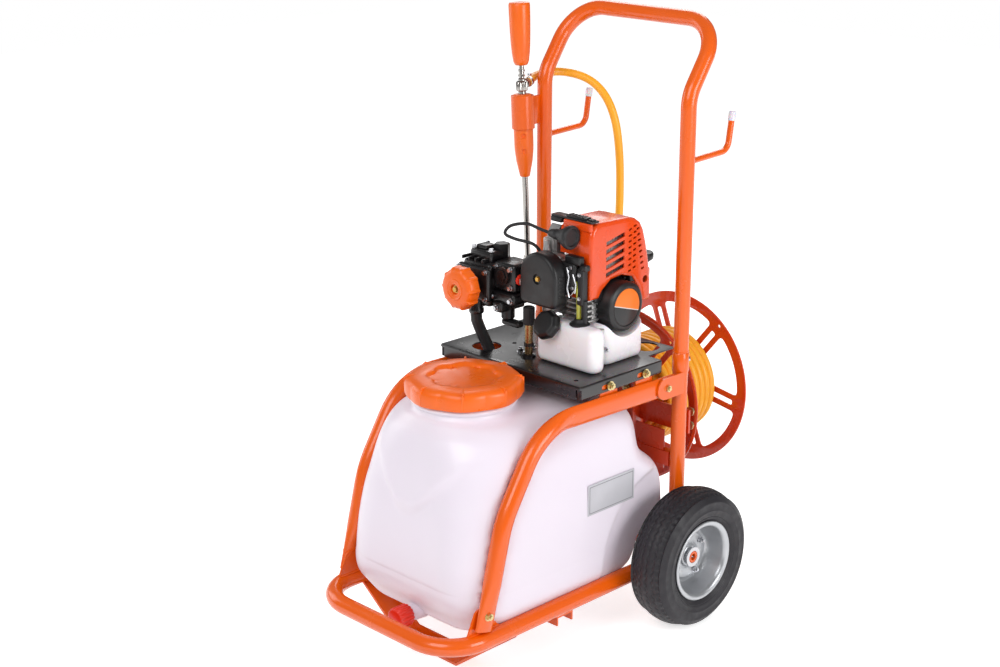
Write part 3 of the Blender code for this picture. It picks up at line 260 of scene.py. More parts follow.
def turned(profile, centre, axis, sides=48, wave=None, loop=False):
    """Turn (radius, height) points about an axis; a third value lets wave(angle) add to the radius."""
    turn = Vector((0, 0, 1)).rotation_difference(Vector(axis).normalized()).to_matrix()
    bm = bmesh.new()
    rows = []
    for radius, height, *ripple in profile:
        row = []
        for k in range(1 if radius == 0 else sides):
            angle = 2 * math.pi * k / sides
            r = radius + (ripple[0] * wave(angle) if ripple else 0)
            row.append(bm.verts.new(Vector(centre)
                                    + turn @ Vector((r * math.cos(angle), r * math.sin(angle), height))))
        rows.append(row)
    pairs = list(zip(rows, rows[1:])) + ([(rows[-1], rows[0])] if loop else [])
    for low, high in pairs:
        for k in range(sides if len(low) + len(high) > 2 else 0):
            n = (k + 1) % sides
            corners = [low[k % len(low)], low[n % len(low)], high[n % len(high)], high[k % len(high)]]
            bm.faces.new(list(dict.fromkeys(corners)))
    return bm


def slab(low, high, radius=0.0, segments=3):
    """A block between two corners with rounded edges."""
    low, high = Vector(low), Vector(high)
    bm = bmesh.new()
    bmesh.ops.create_cube(bm, size=1)
    bmesh.ops.scale(bm, verts=bm.verts, vec=high - low)
    bmesh.ops.translate(bm, verts=bm.verts, vec=(low + high) / 2)
    if radius:
        bmesh.ops.bevel(bm, geom=bm.edges[:], offset=radius, segments=segments, affect="EDGES",
                        profile=0.5)
    return bm


def gather(parts):
    """Several closed shapes in one mesh."""
    whole = bmesh.new()
    for part in parts:
        bmesh.ops.recalc_face_normals(part, faces=part.faces)
        mesh = bpy.data.meshes.new("part")
        part.to_mesh(mesh)
        part.free()
        whole.from_mesh(mesh)
        bpy.data.meshes.remove(mesh)
    return whole


def piece(name, bm, material, body="cart", stands_for=(), crease=35, edge=0.0):
    """Make a named piece from a shape in millimetres; edge rounds its sharp edges by that much."""
    bmesh.ops.remove_doubles(bm, verts=bm.verts, dist=1e-3)
    bmesh.ops.recalc_face_normals(bm, faces=bm.faces)
    bm.transform(Matrix.Translation((0, AXLE_Y, 0)) @ Matrix.Scale(0.001, 4))
    mesh = bpy.data.meshes.new(name)
    bm.to_mesh(mesh)
    bm.free()
    mesh.shade_smooth()
    mesh.set_sharp_from_angle(angle=math.radians(crease))
    mesh.materials.append(material)
    made = bpy.data.objects.new(name, mesh)
    bpy.context.collection.objects.link(made)
    if edge:
        rounding = made.modifiers.new("edge", "BEVEL")
        rounding.width = edge / 1000
        rounding.segments = 3
        rounding.limit_method = "ANGLE"
        rounding.angle_limit = math.radians(crease)
        rounding.harden_normals = True
    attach(made, body)
    if stands_for:
        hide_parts(*stands_for)
    return made


def finish_node(node, material):
    """Give a CAD node a better material."""
    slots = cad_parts[node].material_slots
    for holder in slots:
        holder.material = material
    if not slots:
        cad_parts[node].data.materials.append(material)


def bead(spot, axis, radius, width=3.0):
    """A weld bead: a lumpy ring where a tube meets another piece."""
    profile = [(radius - 1, -width), (radius + width * 0.5, -width * 0.6, 0.5),
               (radius + width * 0.75, 0, 0.6), (radius + width * 0.5, width * 0.6, 0.5),
               (radius - 1, width)]
    return turned(profile, spot, axis, 60, lambda a: math.cos(17 * a), loop=True)


rails = bend([(-HALF_TRACK, RAIL_END, RAIL_Z), (-HALF_TRACK, RAIL_FRONT, RAIL_Z),
              (HALF_TRACK, RAIL_FRONT, RAIL_Z), (HALF_TRACK, RAIL_END, RAIL_Z)], [70, 70])
shapes = [pipe(rails, RAIL_R, 32)]
for side in (1, -1):
    inner, outer = sorted((side * (HALF_TRACK - 7), side * (HALF_TRACK - 4)))
    shapes.append(prism([(-437, RAIL_TOP - 5), (-369, RAIL_TOP - 5), (-392, RAIL_TOP + 34),
                         (-399, RAIL_TOP + 38), (-413, RAIL_TOP + 38), (-419, RAIL_TOP + 34)], "X",
                        inner, outer))
    for x in (inner, outer):
        shapes.append(pipe([(x, -434 + 4 * k, RAIL_TOP - 0.8) for k in range(17)], 2.0, 10,
                           lambda share: (1 + 0.12 * math.sin(90 * share), 1)))
piece("rails", gather(shapes), ORANGE_POWDER, stands_for=("base_frame",), crease=40)
plugs = [turned([(0, 56.7), (10, 56.7), (10, 57.1), (13, 57.1), (13.8, 58.1), (13.2, 60.1), (9, 61.1),
                 (0, 61.4)], (side * HALF_TRACK, 0, RAIL_Z), (0, 1, 0), 32) for side in (1, -1)]
piece("rail_plugs", gather(plugs), BLACK_NYLON)
for node in ("front_foot", "tank_channel", "axle"):
    finish_node(node, ORANGE_POWDER)

# ---------------------------------------------------------------- uprights
# Two 25 mm posts welded to the rails, each with an axle plate at the foot, an ear for the hoop and
# a swaged collar at the top that takes the handle.
UPRIGHT_Y = 40
POST_R = 12.5
JOINT_Z = 440
AXLE_Z = 115


def swept_arc(centre, radius, start, end, steps):
    """Points on an arc, angles in degrees."""
    angles = [math.radians(start + (end - start) * k / steps) for k in range(steps + 1)]
    return [(centre[0] + radius * math.cos(a), centre[1] + radius * math.sin(a)) for a in angles]


for side, word in ((1, "right"), (-1, "left")):
    x = side * HALF_TRACK
    post = turned([(0, RAIL_TOP - 3), (POST_R, RAIL_TOP - 3), (POST_R, 402), (12.8, 406), (13.6, 409),
                   (13.6, 438.5), (12.8, 439.7), (0, 439.7)], (x, UPRIGHT_Y, 0), (0, 0, 1), 32)
    foot_plate = prism([(40, RAIL_TOP - 3), (40, 149), (20, 135)]
                       + swept_arc((0, AXLE_Z), 18, 70, 110, 6) + [(-14, 128), (-22, RAIL_TOP - 3)], "X",
                       x - 3, x + 3)
    inner, outer = sorted((side * (HALF_TRACK + 9), side * (HALF_TRACK + 12)))
    ear = prism([(UPRIGHT_Y, 373)] + [(y, z) for y, z in swept_arc((-10, 391), 18, 270, 90, 10)]
                + [(UPRIGHT_Y, 409)], "X", inner, outer)
    welds = [bead((x, UPRIGHT_Y, RAIL_TOP + 0.5), (0, 0, 1), POST_R)]
    piece(f"post_{word}", gather([post, foot_plate, ear] + welds), ORANGE_POWDER,
          stands_for=(f"upright_{word}",), crease=40)

# ---------------------------------------------------------------- side hoops
# 28 mm tube bent over the tank, pressed flat at the bolted foot and along the tray; two small lugs
# on the flat take the tray's bolts. Bolted at the foot to the gusset and at the rear to the ear.
HOOP_X = HALF_TRACK + 2.5


def press(share):
    """Section factors along the hoop: flat foot, round rise, tall flat top run."""
    foot = max(0.0, 1 - share / 0.11) ** 0.7 if share < 0.11 else 0.0
    top = min(1.0, max(0.0, (share - 0.52) / 0.1))
    top = top * top * (3 - 2 * top)
    wide = 1 - 0.57 * foot - 0.57 * top
    tall = 1 + 0.25 * foot + 0.21 * top
    return wide, tall


LUG_Y = (-132, -49)
HOOP_BENDS = (160, 110)
hoop_corners = [(-408, 103.5), (-366, 268), (-285, 397), (20, 391)]
for side, word in ((1, "right"), (-1, "left")):
    line = bend([(side * HOOP_X, y, z) for y, z in hoop_corners], HOOP_BENDS)
    fine = []
    for a, b in zip(line, line[1:]):
        pieces = max(1, round((b - a).length / 8))
        fine += [a.lerp(b, k / pieces) for k in range(pieces)]
    shapes = [pipe(fine + [line[-1]], RAIL_R, 32, press, (1, 0, 0))]
    inner, outer = sorted((side * 150.2, side * 153.2))
    for y in LUG_Y:
        lug = ([(y - 20, 395)] + [(y - 12 - 8 * math.cos(a), 426 + 8 * math.sin(a))
                                  for a in (0.2, 0.8, 1.4)]
               + [(y + 12 + 8 * math.cos(a), 426 + 8 * math.sin(a)) for a in (1.4, 0.8, 0.2)]
               + [(y + 20, 395)])
        shapes.append(prism(lug, "X", inner, outer))
    piece(f"hoop_tube_{word}", gather(shapes), ORANGE_POWDER, stands_for=(f"hoop_{word}",),
          crease=45)

# ---------------------------------------------------------------- push handle
# One 25 mm tube bent back towards the operator, plugged on the posts, with a round-bar hook
# welded to each leg. The hooks end in clear vinyl caps.
HOOK_Z = 751
HOOK_R = 5
legs = [(UPRIGHT_Y, JOINT_Z), (UPRIGHT_Y, 854), (113, 961)]
corners = [(-HALF_TRACK, y, z) for y, z in legs] + [(HALF_TRACK, y, z) for y, z in legs[::-1]]
shapes = [pipe(bend(corners, [60, 65, 65, 60]), POST_R, 32)]
for side in (1, -1):
    shapes.append(turned([(12, 0.2), (13.1, 0.2), (13.4, 1.2), (13.1, 2.6), (12.3, 3.2)],
                         (side * HALF_TRACK, UPRIGHT_Y, JOINT_Z), (0, 0, 1), 32, loop=True))
    shapes.append(bead((side * HALF_TRACK, UPRIGHT_Y + 12.1, HOOK_Z), (0, 1, 0), HOOK_R, 2.2))
piece("handle_tube", gather(shapes), ORANGE_POWDER, stands_for=("handle",), crease=40)
# soft clear vinyl: milky, faintly blue, lets some light through
CLEAR_VINYL = surface("clear_vinyl", ("#E9E8F0", "#DCDDE8"), rough=0.3, patch=20, grain=1.5, relief=0.02,
                      spread=0.05, Subsurface_Weight=0.4, Subsurface_Scale=0.004)
for side, word in ((1, "right"), (-1, "left")):
    x = side * HALF_TRACK
    line = bend([(x, 51.5, HOOK_Z), (x, 140.5, 755), (x, 148.5, 805)], [18])
    piece(f"hook_bar_{word}", pipe(line, HOOK_R, 20), ORANGE_POWDER,
          stands_for=(f"hook_{word}",), crease=50)
    way = (line[-1] - line[-2]).normalized()
    cap = turned([(5.1, -3), (6.0, -3), (6.1, -2), (5.9, 10), (4.4, 12), (0, 12.4), (0, 0.5),
                  (5.1, 0.4)], line[-1], way, 24, loop=True)
    piece(f"hook_cap_{word}", cap, CLEAR_VINYL, stands_for=(f"hook_tip_{word}",),
          crease=50)

# ---------------------------------------------------------------- spray tank
# Blow-moulded natural polyethylene, about 4 mm thick. Its sides are hollowed for the hoops and the
# wheels, and its front narrows into the filler neck.
NECK_Y = -296
# level, front, rear, half width, radius of the front corners, radius of the rear corners
TANK_SECTIONS = [(74, -386, -90, 112, 50, 38), (74, -392, -78, 120, 50, 40),
                 (82, -403, -62, 133, 55, 45), (98, -410, -48, 150, 62, 46),
                 (114, -424, -39, 160, 70, 56), (134, -428, -34, 161, 74, 56),
                 (147, -428, -32, 161, 76, 50), (149, -428, -16, 161, 78, 50),
                 (152, -429, 14, 161, 80, 50), (166, -429, 24, 162, 84, 50),
                 (200, -428, 25, 162, 90, 55), (235, -424, 24, 162, 98, 58),
                 (262, -420, 10, 161, 104, 60), (282, -415, -22, 160, 110, 60),
                 (300, -411, -33, 160, 116, 60), (330, -404, -35, 158, 122, 62),
                 (352, -397, -38, 154, 128, 66), (372, -390, -50, 143, 128, 72),
                 (384, -386, -72, 126, 120, 78), (391, -384, -112, 106, 102, 80),
                 (394, -382, -190, 88, 87, 84), (397, -378, -214, 82, 82, 82),
                 (402, -376, -216, 80, 80, 80)]


def tank_ring(level, front, rear, half_width, nose, tail):
    """Rounded plan outline of the tank at one level, with the same number of points at each."""
    corners = ((half_width - tail, rear - tail, 0, tail), (tail - half_width, rear - tail, 90, tail),
               (nose - half_width, front + nose, 180, nose),
               (half_width - nose, front + nose, 270, nose))
    counts = (40, 26, 40, 60)
    ring = []
    arcs = [swept_arc((cx, cy), r, start, start + 90, 24) for cx, cy, start, r in corners]
    for arc_points, following, count in zip(arcs, arcs[1:] + arcs[:1], counts):
        ring += [Vector((px, py, level)) for px, py in arc_points[:-1]]
        a, b = arc_points[-1], following[0]
        ring += [Vector((a[0] + (b[0] - a[0]) * k / count, a[1] + (b[1] - a[1]) * k / count, level))
                 for k in range(count)]
    return ring


def blended(rows, steps):
    """Values on a uniform cubic B-spline through the rows, which rounds every change."""
    rows = [rows[0]] * 2 + rows + [rows[-1]] * 2
    result = []
    for a, b, c, d in zip(rows, rows[1:], rows[2:], rows[3:]):
        for k in range(steps):
            t = k / steps
            weights = ((1 - t) ** 3 / 6, (3 * t ** 3 - 6 * t * t + 4) / 6,
                       (-3 * t ** 3 + 3 * t * t + 3 * t + 1) / 6, t ** 3 / 6)
            result.append([sum(w * row[i] for w, row in zip(weights, (a, b, c, d)))
                           for i in range(len(a))])
    return result


def smoothstep(value, low, high):
    """0 below low, 1 above high, smooth between."""
    t = min(1.0, max(0.0, (value - low) / (high - low)))
    return t * t * (3 - 2 * t)


hoop_path = bend([(0, y, z) for y, z in hoop_corners], HOOP_BENDS)
hoop_dots = [a.lerp(b, k / 6) for a, b in zip(hoop_path, hoop_path[1:]) for k in range(6)]
# radii of the groove that the hoop lies in and of the recess that the wheel stands in, and how far
# from the cart's middle plane that recess reaches
GROOVE = 16.5
ARCH_R = 146
ARCH_DEPTH = 147


def moulded(point):
    """Press the hoop's groove, the wheel's recess and the hollow under the neck into the wall."""
    x, y, z = point
    side = 1 if x > 0 else -1
    depth = abs(x)
    if depth > 60 and z < 398:
        near = min(math.hypot(y - dot.y, z - dot.z) for dot in hoop_dots)
        if near < GROOVE + 14:
            if near < GROOVE:
                wall = HOOP_X - math.sqrt(GROOVE ** 2 - near ** 2)
            else:
                wall = HOOP_X + (near - GROOVE) * 1.5
            if wall < depth:
                depth = wall
            elif wall < depth + 8:
                depth -= (depth + 8 - wall) ** 2 / 32
    arch = math.hypot(y, z - AXLE_Z)
    if depth > ARCH_DEPTH and arch < ARCH_R:
        depth -= (depth - ARCH_DEPTH) * (1 - smoothstep(arch, 134, ARCH_R))
    if y < -300 and z > 240:
        throat = 16 + 0.95 * max(0.0, z - 252)
        inside = 1 - smoothstep(depth, throat - 14, throat + 6)
        y -= (6 * inside * smoothstep(z, 246, 274) * (1 - smoothstep(z, 370, 394))
              * (1 - smoothstep(y, -385, -330)))
    return Vector((side * depth, y, z))


rings = []
for row in blended([list(row) for row in TANK_SECTIONS], 5):
    rings.append([moulded(point) for point in tank_ring(*row)])
neck_profile = [(80, 404), (82.5, 405.5), (84, 408), (84, 410.5), (82, 412), (79.5, 412.8), (79, 414),
                (79, 422), (78, 424), (76, 424), (75.5, 380), (70, 370), (30, 366)]
for radius, level in neck_profile:
    circle = tank_ring(level, NECK_Y - radius, NECK_Y + radius, radius, radius - 0.01, radius - 0.01)
    rings.append(circle)
# natural high-density polyethylene: milky white with a cool tint, light bleeds a little through it
NATURAL_HDPE = surface("natural_hdpe", ("#E6DDE9", "#ECE4EE"), rough=0.34, patch=220, grain=3.0,
                       relief=0.05, spread=0.05, Subsurface_Weight=0.25, Subsurface_Scale=0.012,
                       Subsurface_Radius=(1.0, 0.9, 1.0))
piece("tank_shell", skin(rings), NATURAL_HDPE, stands_for=("tank",), crease=60)

# the drain spout under the front
DRAIN_X, DRAIN_Z = 4, 83.5
drain = [turned([(0, -432), (11, -432), (11.4, -431), (11.4, -418), (14, -410), (15, -392), (0, -392)],
                (DRAIN_X, 0, DRAIN_Z), (0, 1, 0), 32)]
piece("drain_spout", gather(drain), NATURAL_HDPE, crease=50)

# ---------------------------------------------------------------- blank label
# A blank silver foil label with a printed border, stuck on the tank's right side.
# brushed silver polyester film, satin, with a darker frame
PLATE_FOIL = surface("label_foil", ("#B9B8BE", "#C6C5CB"), rough=0.4, patch=30, grain=0.6, relief=0.01,
                     spread=0.05, stretch=(1, 1, 8))
PLATE_INK = surface("label_ink", ("#8C8B92", "#86858C"), rough=0.5, patch=30, grain=0.6, relief=0.01)
piece("label", slab((161.6, -186, 223), (162.9, -78, 274), 0.4, 2), PLATE_FOIL,
      crease=50)
lines = [slab((162.9, -183, z), (163.1, -81, z + 1.2)) for z in (226, 269.8)]
lines += [slab((162.9, y, 226), (163.1, y + 1.2, 271)) for y in (-183, -82.2)]
piece("label_border", gather(lines), PLATE_INK)

# ---------------------------------------------------------------- filler cap
# Injection-moulded polypropylene screw cap, 185 mm across: eight gripping flats parted by narrow
# ribs, a raised ring on top and a dished middle with a lobed edge.
# moulded orange polypropylene: waxy, low gloss, very fine texture
ORANGE_PP = surface("orange_polypropylene", ("#F26A08", "#EC6206"), rough=0.33, patch=70, grain=1.2,
                    relief=0.02, spread=0.07, Subsurface_Weight=0.08, Subsurface_Scale=0.003)
LOBES = 8


def flats(angle):
    """How far the cap's edge falls in from its corner circle, as a share of the deepest."""
    part = (angle * LOBES / (2 * math.pi)) % 1
    return -(1 - abs(part - 0.5) * 2) ** 1.3


CAP_LIFT = 4
CAP_PROFILE = ((0, 436.2), (30, 436.0), (50, 436.2), (54, 436.8, 1.6), (58, 439.4, 2.2),
               (61, 440.8, 2.2), (66, 441, 1.0), (76, 440.6, 0.4), (83, 439.6, 0.5), (88, 437.4, 0.9),
               (91, 434, 1.1), (92.2, 430, 1.2), (92.6, 420, 1.2), (92.2, 413.5, 1.2), (91, 411.4, 1),
               (88, 411, 0.6), (82, 411.2), (82, 428), (0, 428))
cap = turned([(r, z + CAP_LIFT, *wave) for r, z, *wave in CAP_PROFILE], (0, NECK_Y, 0), (0, 0, 1), 320,
             lambda a: 3.4 * flats(a))
ribs = []
for k in range(LOBES):
    a = 2 * math.pi * k / LOBES
    for rib in (slab((86, -2, 416.5), (93, 2, 442), 1.4, 3),
                slab((60, -1.6, 440), (90, 1.6, 445), 1.2, 3)):
        rib.transform(Matrix.Translation((0, NECK_Y, 0)) @ Matrix.Rotation(a, 4, "Z"))
        ribs.append(rib)
piece("filler_cap", gather([cap] + ribs), ORANGE_PP, "tank_cap", ("tank_cap",), crease=40)
finish_node("tank_strainer", BLACK_NYLON)
# red acetal drain cap with a knurled skirt
RED_ACETAL = surface("red_acetal", ("#E8321A", "#DD2C16"), rough=0.32, patch=30, grain=0.8, relief=0.02,
                     spread=0.05)
drain_cap = turned([(0, -451.4), (13, -452), (15.4, -451), (16.4, -449, 1), (17, -446, 1), (17, -426, 1),
                    (16, -424, 1), (11.8, -424), (11.8, -432.3), (0, -432.3)], (DRAIN_X, 0, DRAIN_Z),
                   (0, 1, 0), 160, lambda a: 0.8 * math.cos(16 * a))
piece("drain_knob", drain_cap, RED_ACETAL, "drain_cap", ("drain_cap",), crease=45)

# ---------------------------------------------------------------- engine tray
# 2.5 mm steel sheet folded down on four sides, black powder coated, with two round holes for the
# hoses and a slotted flange each side that is bolted to the hoops' lugs.
TRAY_TOP = 438
# black powder coat, semi-gloss, shows smoky reflections of what stands on it
BLACK_POWDER = surface("black_powder_coat", ("#100C0E", "#161113"), rough=0.3, patch=80, grain=1.6,
                       relief=0.006, spread=0.05, Coat_Weight=0.4, Coat_Roughness=0.12)


def carve(bm, cutter, operation="DIFFERENCE"):
    """An exact Boolean of two shapes, as a new shape."""
    holders = []
    for shape in (bm, cutter):
        bmesh.ops.recalc_face_normals(shape, faces=shape.faces)
        mesh = bpy.data.meshes.new("shape")
        shape.to_mesh(mesh)
        shape.free()
        holder = bpy.data.objects.new("shape", mesh)
        bpy.context.collection.objects.link(holder)
        holders.append(holder)
    modifier = holders[0].modifiers.new("cut", "BOOLEAN")
    modifier.operation = operation
    modifier.object = holders[1]
    cut = holders[0].evaluated_get(bpy.context.evaluated_depsgraph_get())
    mesh = bpy.data.meshes.new_from_object(cut)
    result = bmesh.new()
    result.from_mesh(mesh)
    for holder in holders:
        data = holder.data
        bpy.data.objects.remove(holder)
        bpy.data.meshes.remove(data)
    bpy.data.meshes.remove(mesh)
    return result


def capsule(low, high, radius, steps=8):
    """Outline of a slot between two points of a plane."""
    a, b = Vector(low), Vector(high)
    way = math.degrees(math.atan2(b.y - a.y, b.x - a.x))
    return (swept_arc(b, radius, way - 90, way + 90, steps)
            + swept_arc(a, radius, way + 90, way + 270, steps))


tray = carve(slab((-156, -201, 416), (156, -8, TRAY_TOP), 2.5, 4),
             slab((-153.5, -198.5, 400), (153.5, -10.5, 435.5)))
tray = carve(tray, slab((-127, -18, 435.5), (127, 56, TRAY_TOP), 0.6, 2), "UNION")
holes = [turned([(0, 425), (24, 425), (24, 445), (0, 445)], (x, y, 0), (0, 0, 1), 64)
         for x, y in ((-93, -156), (92, 24))]
holes += [turned([(0, 425), (4, 425), (4, 445), (0, 445)], (x, y, 0), (0, 0, 1), 24)
          for x, y in ((-71, -114), (128, -180))]
holes += [prism(capsule((y - 15, 425), (y + 3, 425), 4.2), "X", x, x + 20) for y in LUG_Y
          for x in (-165, 145)]
holes += [slab((sx * 152 - 5, -202.5, 415), (sx * 152 + 5, -197.4, 433)) for sx in (1, -1)]
tray = carve(tray, gather(holes))
piece("engine_tray", tray, BLACK_POWDER, stands_for=("tray",), crease=30)

# ---------------------------------------------------------------- bolts
# Hexagon bolts with washers hold the trolley and the engine set together: yellow passivated zinc
# on the trolley, bright zinc on the machinery. One node tree makes every one of them.
# yellow passivated zinc: pale gold with rainbow blotches
YELLOW_ZINC = surface("yellow_zinc", ("#D9C48A", "#C9B98F"), rough=0.3, patch=6, grain=0.5, relief=0.01,
                      spread=0.08, Metallic=0.9)
# bright zinc plating: cool silver, slightly frosted
BRIGHT_ZINC = surface("bright_zinc", ("#C9C9CC", "#BDBEC2"), rough=0.27, patch=12, grain=0.5,
                      relief=0.01, spread=0.07, Metallic=1.0)


def bolt_tree():
    """A node tree that stands a washer, a hexagon head and a threaded end on each point."""
    tree = bpy.data.node_groups.new("bolts", "GeometryNodeTree")
    for name, kind in (("Geometry", "NodeSocketGeometry"), ("Across", "NodeSocketFloat"),
                       ("Head", "NodeSocketFloat"), ("Washer", "NodeSocketFloat"),
                       ("End", "NodeSocketFloat"), ("Finish", "NodeSocketMaterial")):
        tree.interface.new_socket(name, in_out="INPUT", socket_type=kind)
    tree.interface.new_socket("Geometry", in_out="OUTPUT", socket_type="NodeSocketGeometry")
    given = add(tree, "NodeGroupInput").outputs

    def math_node(operation, a, b):
        return add(tree, "ShaderNodeMath", {0: a, 1: b}, operation=operation).outputs[0]

    def disc(sides, radius, height, lift):
        body = add(tree, "GeometryNodeMeshCylinder",
                   {"Vertices": sides, "Radius": radius, "Depth": height})
        raised = add(tree, "ShaderNodeCombineXYZ", {"Z": lift})
        return add(tree, "GeometryNodeTransform", {"Geometry": body.outputs["Mesh"],
                                                   "Translation": raised.outputs[0]}).outputs[0]

    thick = math_node("MULTIPLY", given["Across"], 0.12)
    corner = math_node("MULTIPLY", given["Across"], 0.577)
    head_lift = math_node("ADD", thick, math_node("MULTIPLY", given["Head"], 0.5))
    end_lift = math_node("ADD", thick,
                         math_node("MULTIPLY", math_node("ADD", given["Head"], given["End"]), 0.5))
    joined = add(tree, "GeometryNodeJoinGeometry")
    parts = (disc(28, math_node("MULTIPLY", given["Washer"], 0.5), thick,
                  math_node("MULTIPLY", thick, 0.5)), disc(6, corner, given["Head"], head_lift),
             disc(20, math_node("MULTIPLY", given["Across"], 0.47),
                  math_node("MULTIPLY", given["Head"], 1.12), head_lift),
             disc(16, math_node("MULTIPLY", given["Across"], 0.29),
                  math_node("ADD", given["Head"], given["End"]), end_lift))
    for part in parts:
        tree.links.new(part, joined.inputs[0])
    facing = add(tree, "GeometryNodeInputNamedAttribute", {"Name": "facing"}, data_type="FLOAT_VECTOR")
    turn = add(tree, "FunctionNodeAlignRotationToVector", {"Vector": facing.outputs[0]}, axis="Z")
    spread = add(tree, "GeometryNodeInstanceOnPoints",
                 {"Points": given["Geometry"], "Instance": joined.outputs[0],
                  "Rotation": turn.outputs[0]})
    real = add(tree, "GeometryNodeRealizeInstances", {0: spread.outputs[0]})
    flat = add(tree, "GeometryNodeSetShadeSmooth", {"Geometry": real.outputs[0], "Shade Smooth": False})
    coated = add(tree, "GeometryNodeSetMaterial",
                 {"Geometry": flat.outputs[0], "Material": given["Finish"]})
    add(tree, "NodeGroupOutput", {0: coated.outputs[0]})
    return tree


BOLTS = bolt_tree()


def grown(name, points, facings, tree, values, material, body="cart"):
    """Run a node tree on points in millimetres and keep the result as a plain, riding mesh."""
    mesh = bpy.data.meshes.new(name)
    mesh.from_pydata([at(*p) for p in points], [], [])
    if facings:
        facing = mesh.attributes.new("facing", "FLOAT_VECTOR", "POINT")
        for holder, way in zip(facing.data, facings):
            holder.vector = way
    seed = bpy.data.objects.new(name, mesh)
    bpy.context.collection.objects.link(seed)
    modifier = seed.modifiers.new("nodes", "NODES")
    modifier.node_group = tree
    for item in tree.interface.items_tree:
        if item.in_out == "INPUT" and item.name in values:
            modifier[item.identifier] = values[item.name]
    result = bpy.data.meshes.new_from_object(seed.evaluated_get(bpy.context.evaluated_depsgraph_get()))
    seed.modifiers.remove(modifier)
    seed.data = result
    result.name = name
    if not result.materials:
        result.materials.append(material)
    for attribute in [a.name for a in result.attributes if a.name == "facing"]:
        result.attributes.remove(result.attributes[attribute])
    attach(seed, body)
    return seed


def bolts(name, spots, across, head, washer, material, body="cart", end=0.0):
    """Bolts at (point, direction) spots, all of one size in millimetres."""
    values = {"Across": across / 1000, "Head": head / 1000, "Washer": washer / 1000, "End": end / 1000,
              "Finish": material}
    return grown(name, [s[0] for s in spots], [Vector(s[1]).normalized() for s in spots], BOLTS, values,
                 material, body)


trolley_spots = []
for side in (1, -1):
    out = (side, 0, 0)
    trolley_spots += [((side * 163, -404, 129), out), ((side * 163.5, -4, 391), out)]
    trolley_spots += [((side * 156.2, y, 425), out) for y in LUG_Y]
bolts("trolley_bolts", trolley_spots, across=10, head=4.6, washer=15, material=YELLOW_ZINC, end=2.4)
bolts("joint_screws", [((side * (HALF_TRACK + 8.2), UPRIGHT_Y + 8.6, 428), (side, 1, 0))
                       for side in (1, -1)], across=7, head=2.6, washer=10, material=BRIGHT_ZINC)

# ---------------------------------------------------------------- fuel tank
# Blow-moulded polyethylene saddle tank bolted to the tray under the engine: two lobes with a waist
# between them, hollowed round the crankcase.
CRANK_Y = -53
CRANK_Z = 527


def lobe(low, high, corner):
    """A pillow with rounded corners and softened top and bottom edges between two corners."""
    layers = []
    for z, inset in ((low[2], 9), (low[2] + 1, 6), (low[2] + 3, 3), (low[2] + 7, 0.8), (low[2] + 12, 0),
                     (high[2] - 14, 0), (high[2] - 8, 1), (high[2] - 4, 3), (high[2] - 1, 6.5),
                     (high[2], 11)):
        r = max(corner - inset, 2)
        ring = []
        for cx, cy, start in ((high[0] - inset - r, high[1] - inset - r, 0),
                              (low[0] + inset + r, high[1] - inset - r, 90),
                              (low[0] + inset + r, low[1] + inset + r, 180),
                              (high[0] - inset - r, low[1] + inset + r, 270)):
            ring += [Vector((px, py, z)) for px, py in swept_arc((cx, cy), r, start, start + 90, 10)]
        layers.append(ring)
    return skin(layers)


hollow = turned([(0, -30), (47.5, -30), (47.5, 150), (0, 150)], (0, CRANK_Y, CRANK_Z), (1, 0, 0), 96)
saddle = carve(lobe((14, -105, 438.3), (119, -6, 505), 20), hollow)
front_lobe = lobe((8, -150, 438.3), (136, -116, 509), 16)
web = slab((30, -124, 444), (106, -98, 476), 4, 3)
cap_way = Vector((0, -0.85, 0.53)).normalized()
cap_seat = Vector((44, -146, 497))
spout = turned([(0, -12), (17, -12), (17, -4), (15, -2), (15, 6), (0, 6)], cap_seat, cap_way, 40)
# thin translucent polyethylene: a little warmer and glossier than the big tank
FUEL_HDPE = surface("fuel_tank_hdpe", ("#F1EBF0", "#F6F2F5"), rough=0.25, patch=80, grain=2.0,
                    relief=0.03, spread=0.05, Subsurface_Weight=0.25, Subsurface_Scale=0.006)
piece("petrol_tank", gather([saddle, front_lobe, web, spout]), FUEL_HDPE,
      stands_for=("fuel_tank",), crease=38)
octagon = turned([(0, 25.2), (13, 25.6), (19, 24.6), (23, 21), (24.6, 17), (24.6, 11), (23, 7.6),
                  (20, 6.4), (0, 6.4)], cap_seat, cap_way, 8)
piece("petrol_cap", octagon, BLACK_NYLON, "fuel_cap", ("fuel_cap",), crease=20,
      edge=1.4)

# ---------------------------------------------------------------- crankcase and cylinder
# Die-cast aluminium: a crankcase drum with mounting lugs and cooling ribs, and above it a cylinder
# with thin fins that stand in the cover's air stream.
# die-cast aluminium: bead-blasted grey with a fine sandy grain
CAST_ALUMINIUM = surface("cast_aluminium", ("#A9A8A8", "#BDBBB9"), rough=0.42, patch=25, grain=0.9,
                         relief=0.05, spread=0.1, Metallic=0.85)
drum = turned([(0, 6), (40, 6), (43, 8), (44, 12), (44, 58), (42, 62), (40, 64), (0, 64)],
              (0, CRANK_Y, CRANK_Z), (1, 0, 0), 64)
shapes = [drum]
for k in range(5):
    shapes.append(slab((46, -116, 508 + 8.5 * k), (92, -90, 511.4 + 8.5 * k), 0.8, 2))
shapes.append(slab((50, -104, 505), (90, -88, 548), 2, 2))
shapes.append(slab((6, -132, 512), (30, -90, 532), 4, 3))
shapes.append(slab((96, -104, 464), (112, -90, 500), 3, 3))
piece("crank_casting", gather(shapes), CAST_ALUMINIUM, stands_for=("crankcase",), crease=40)
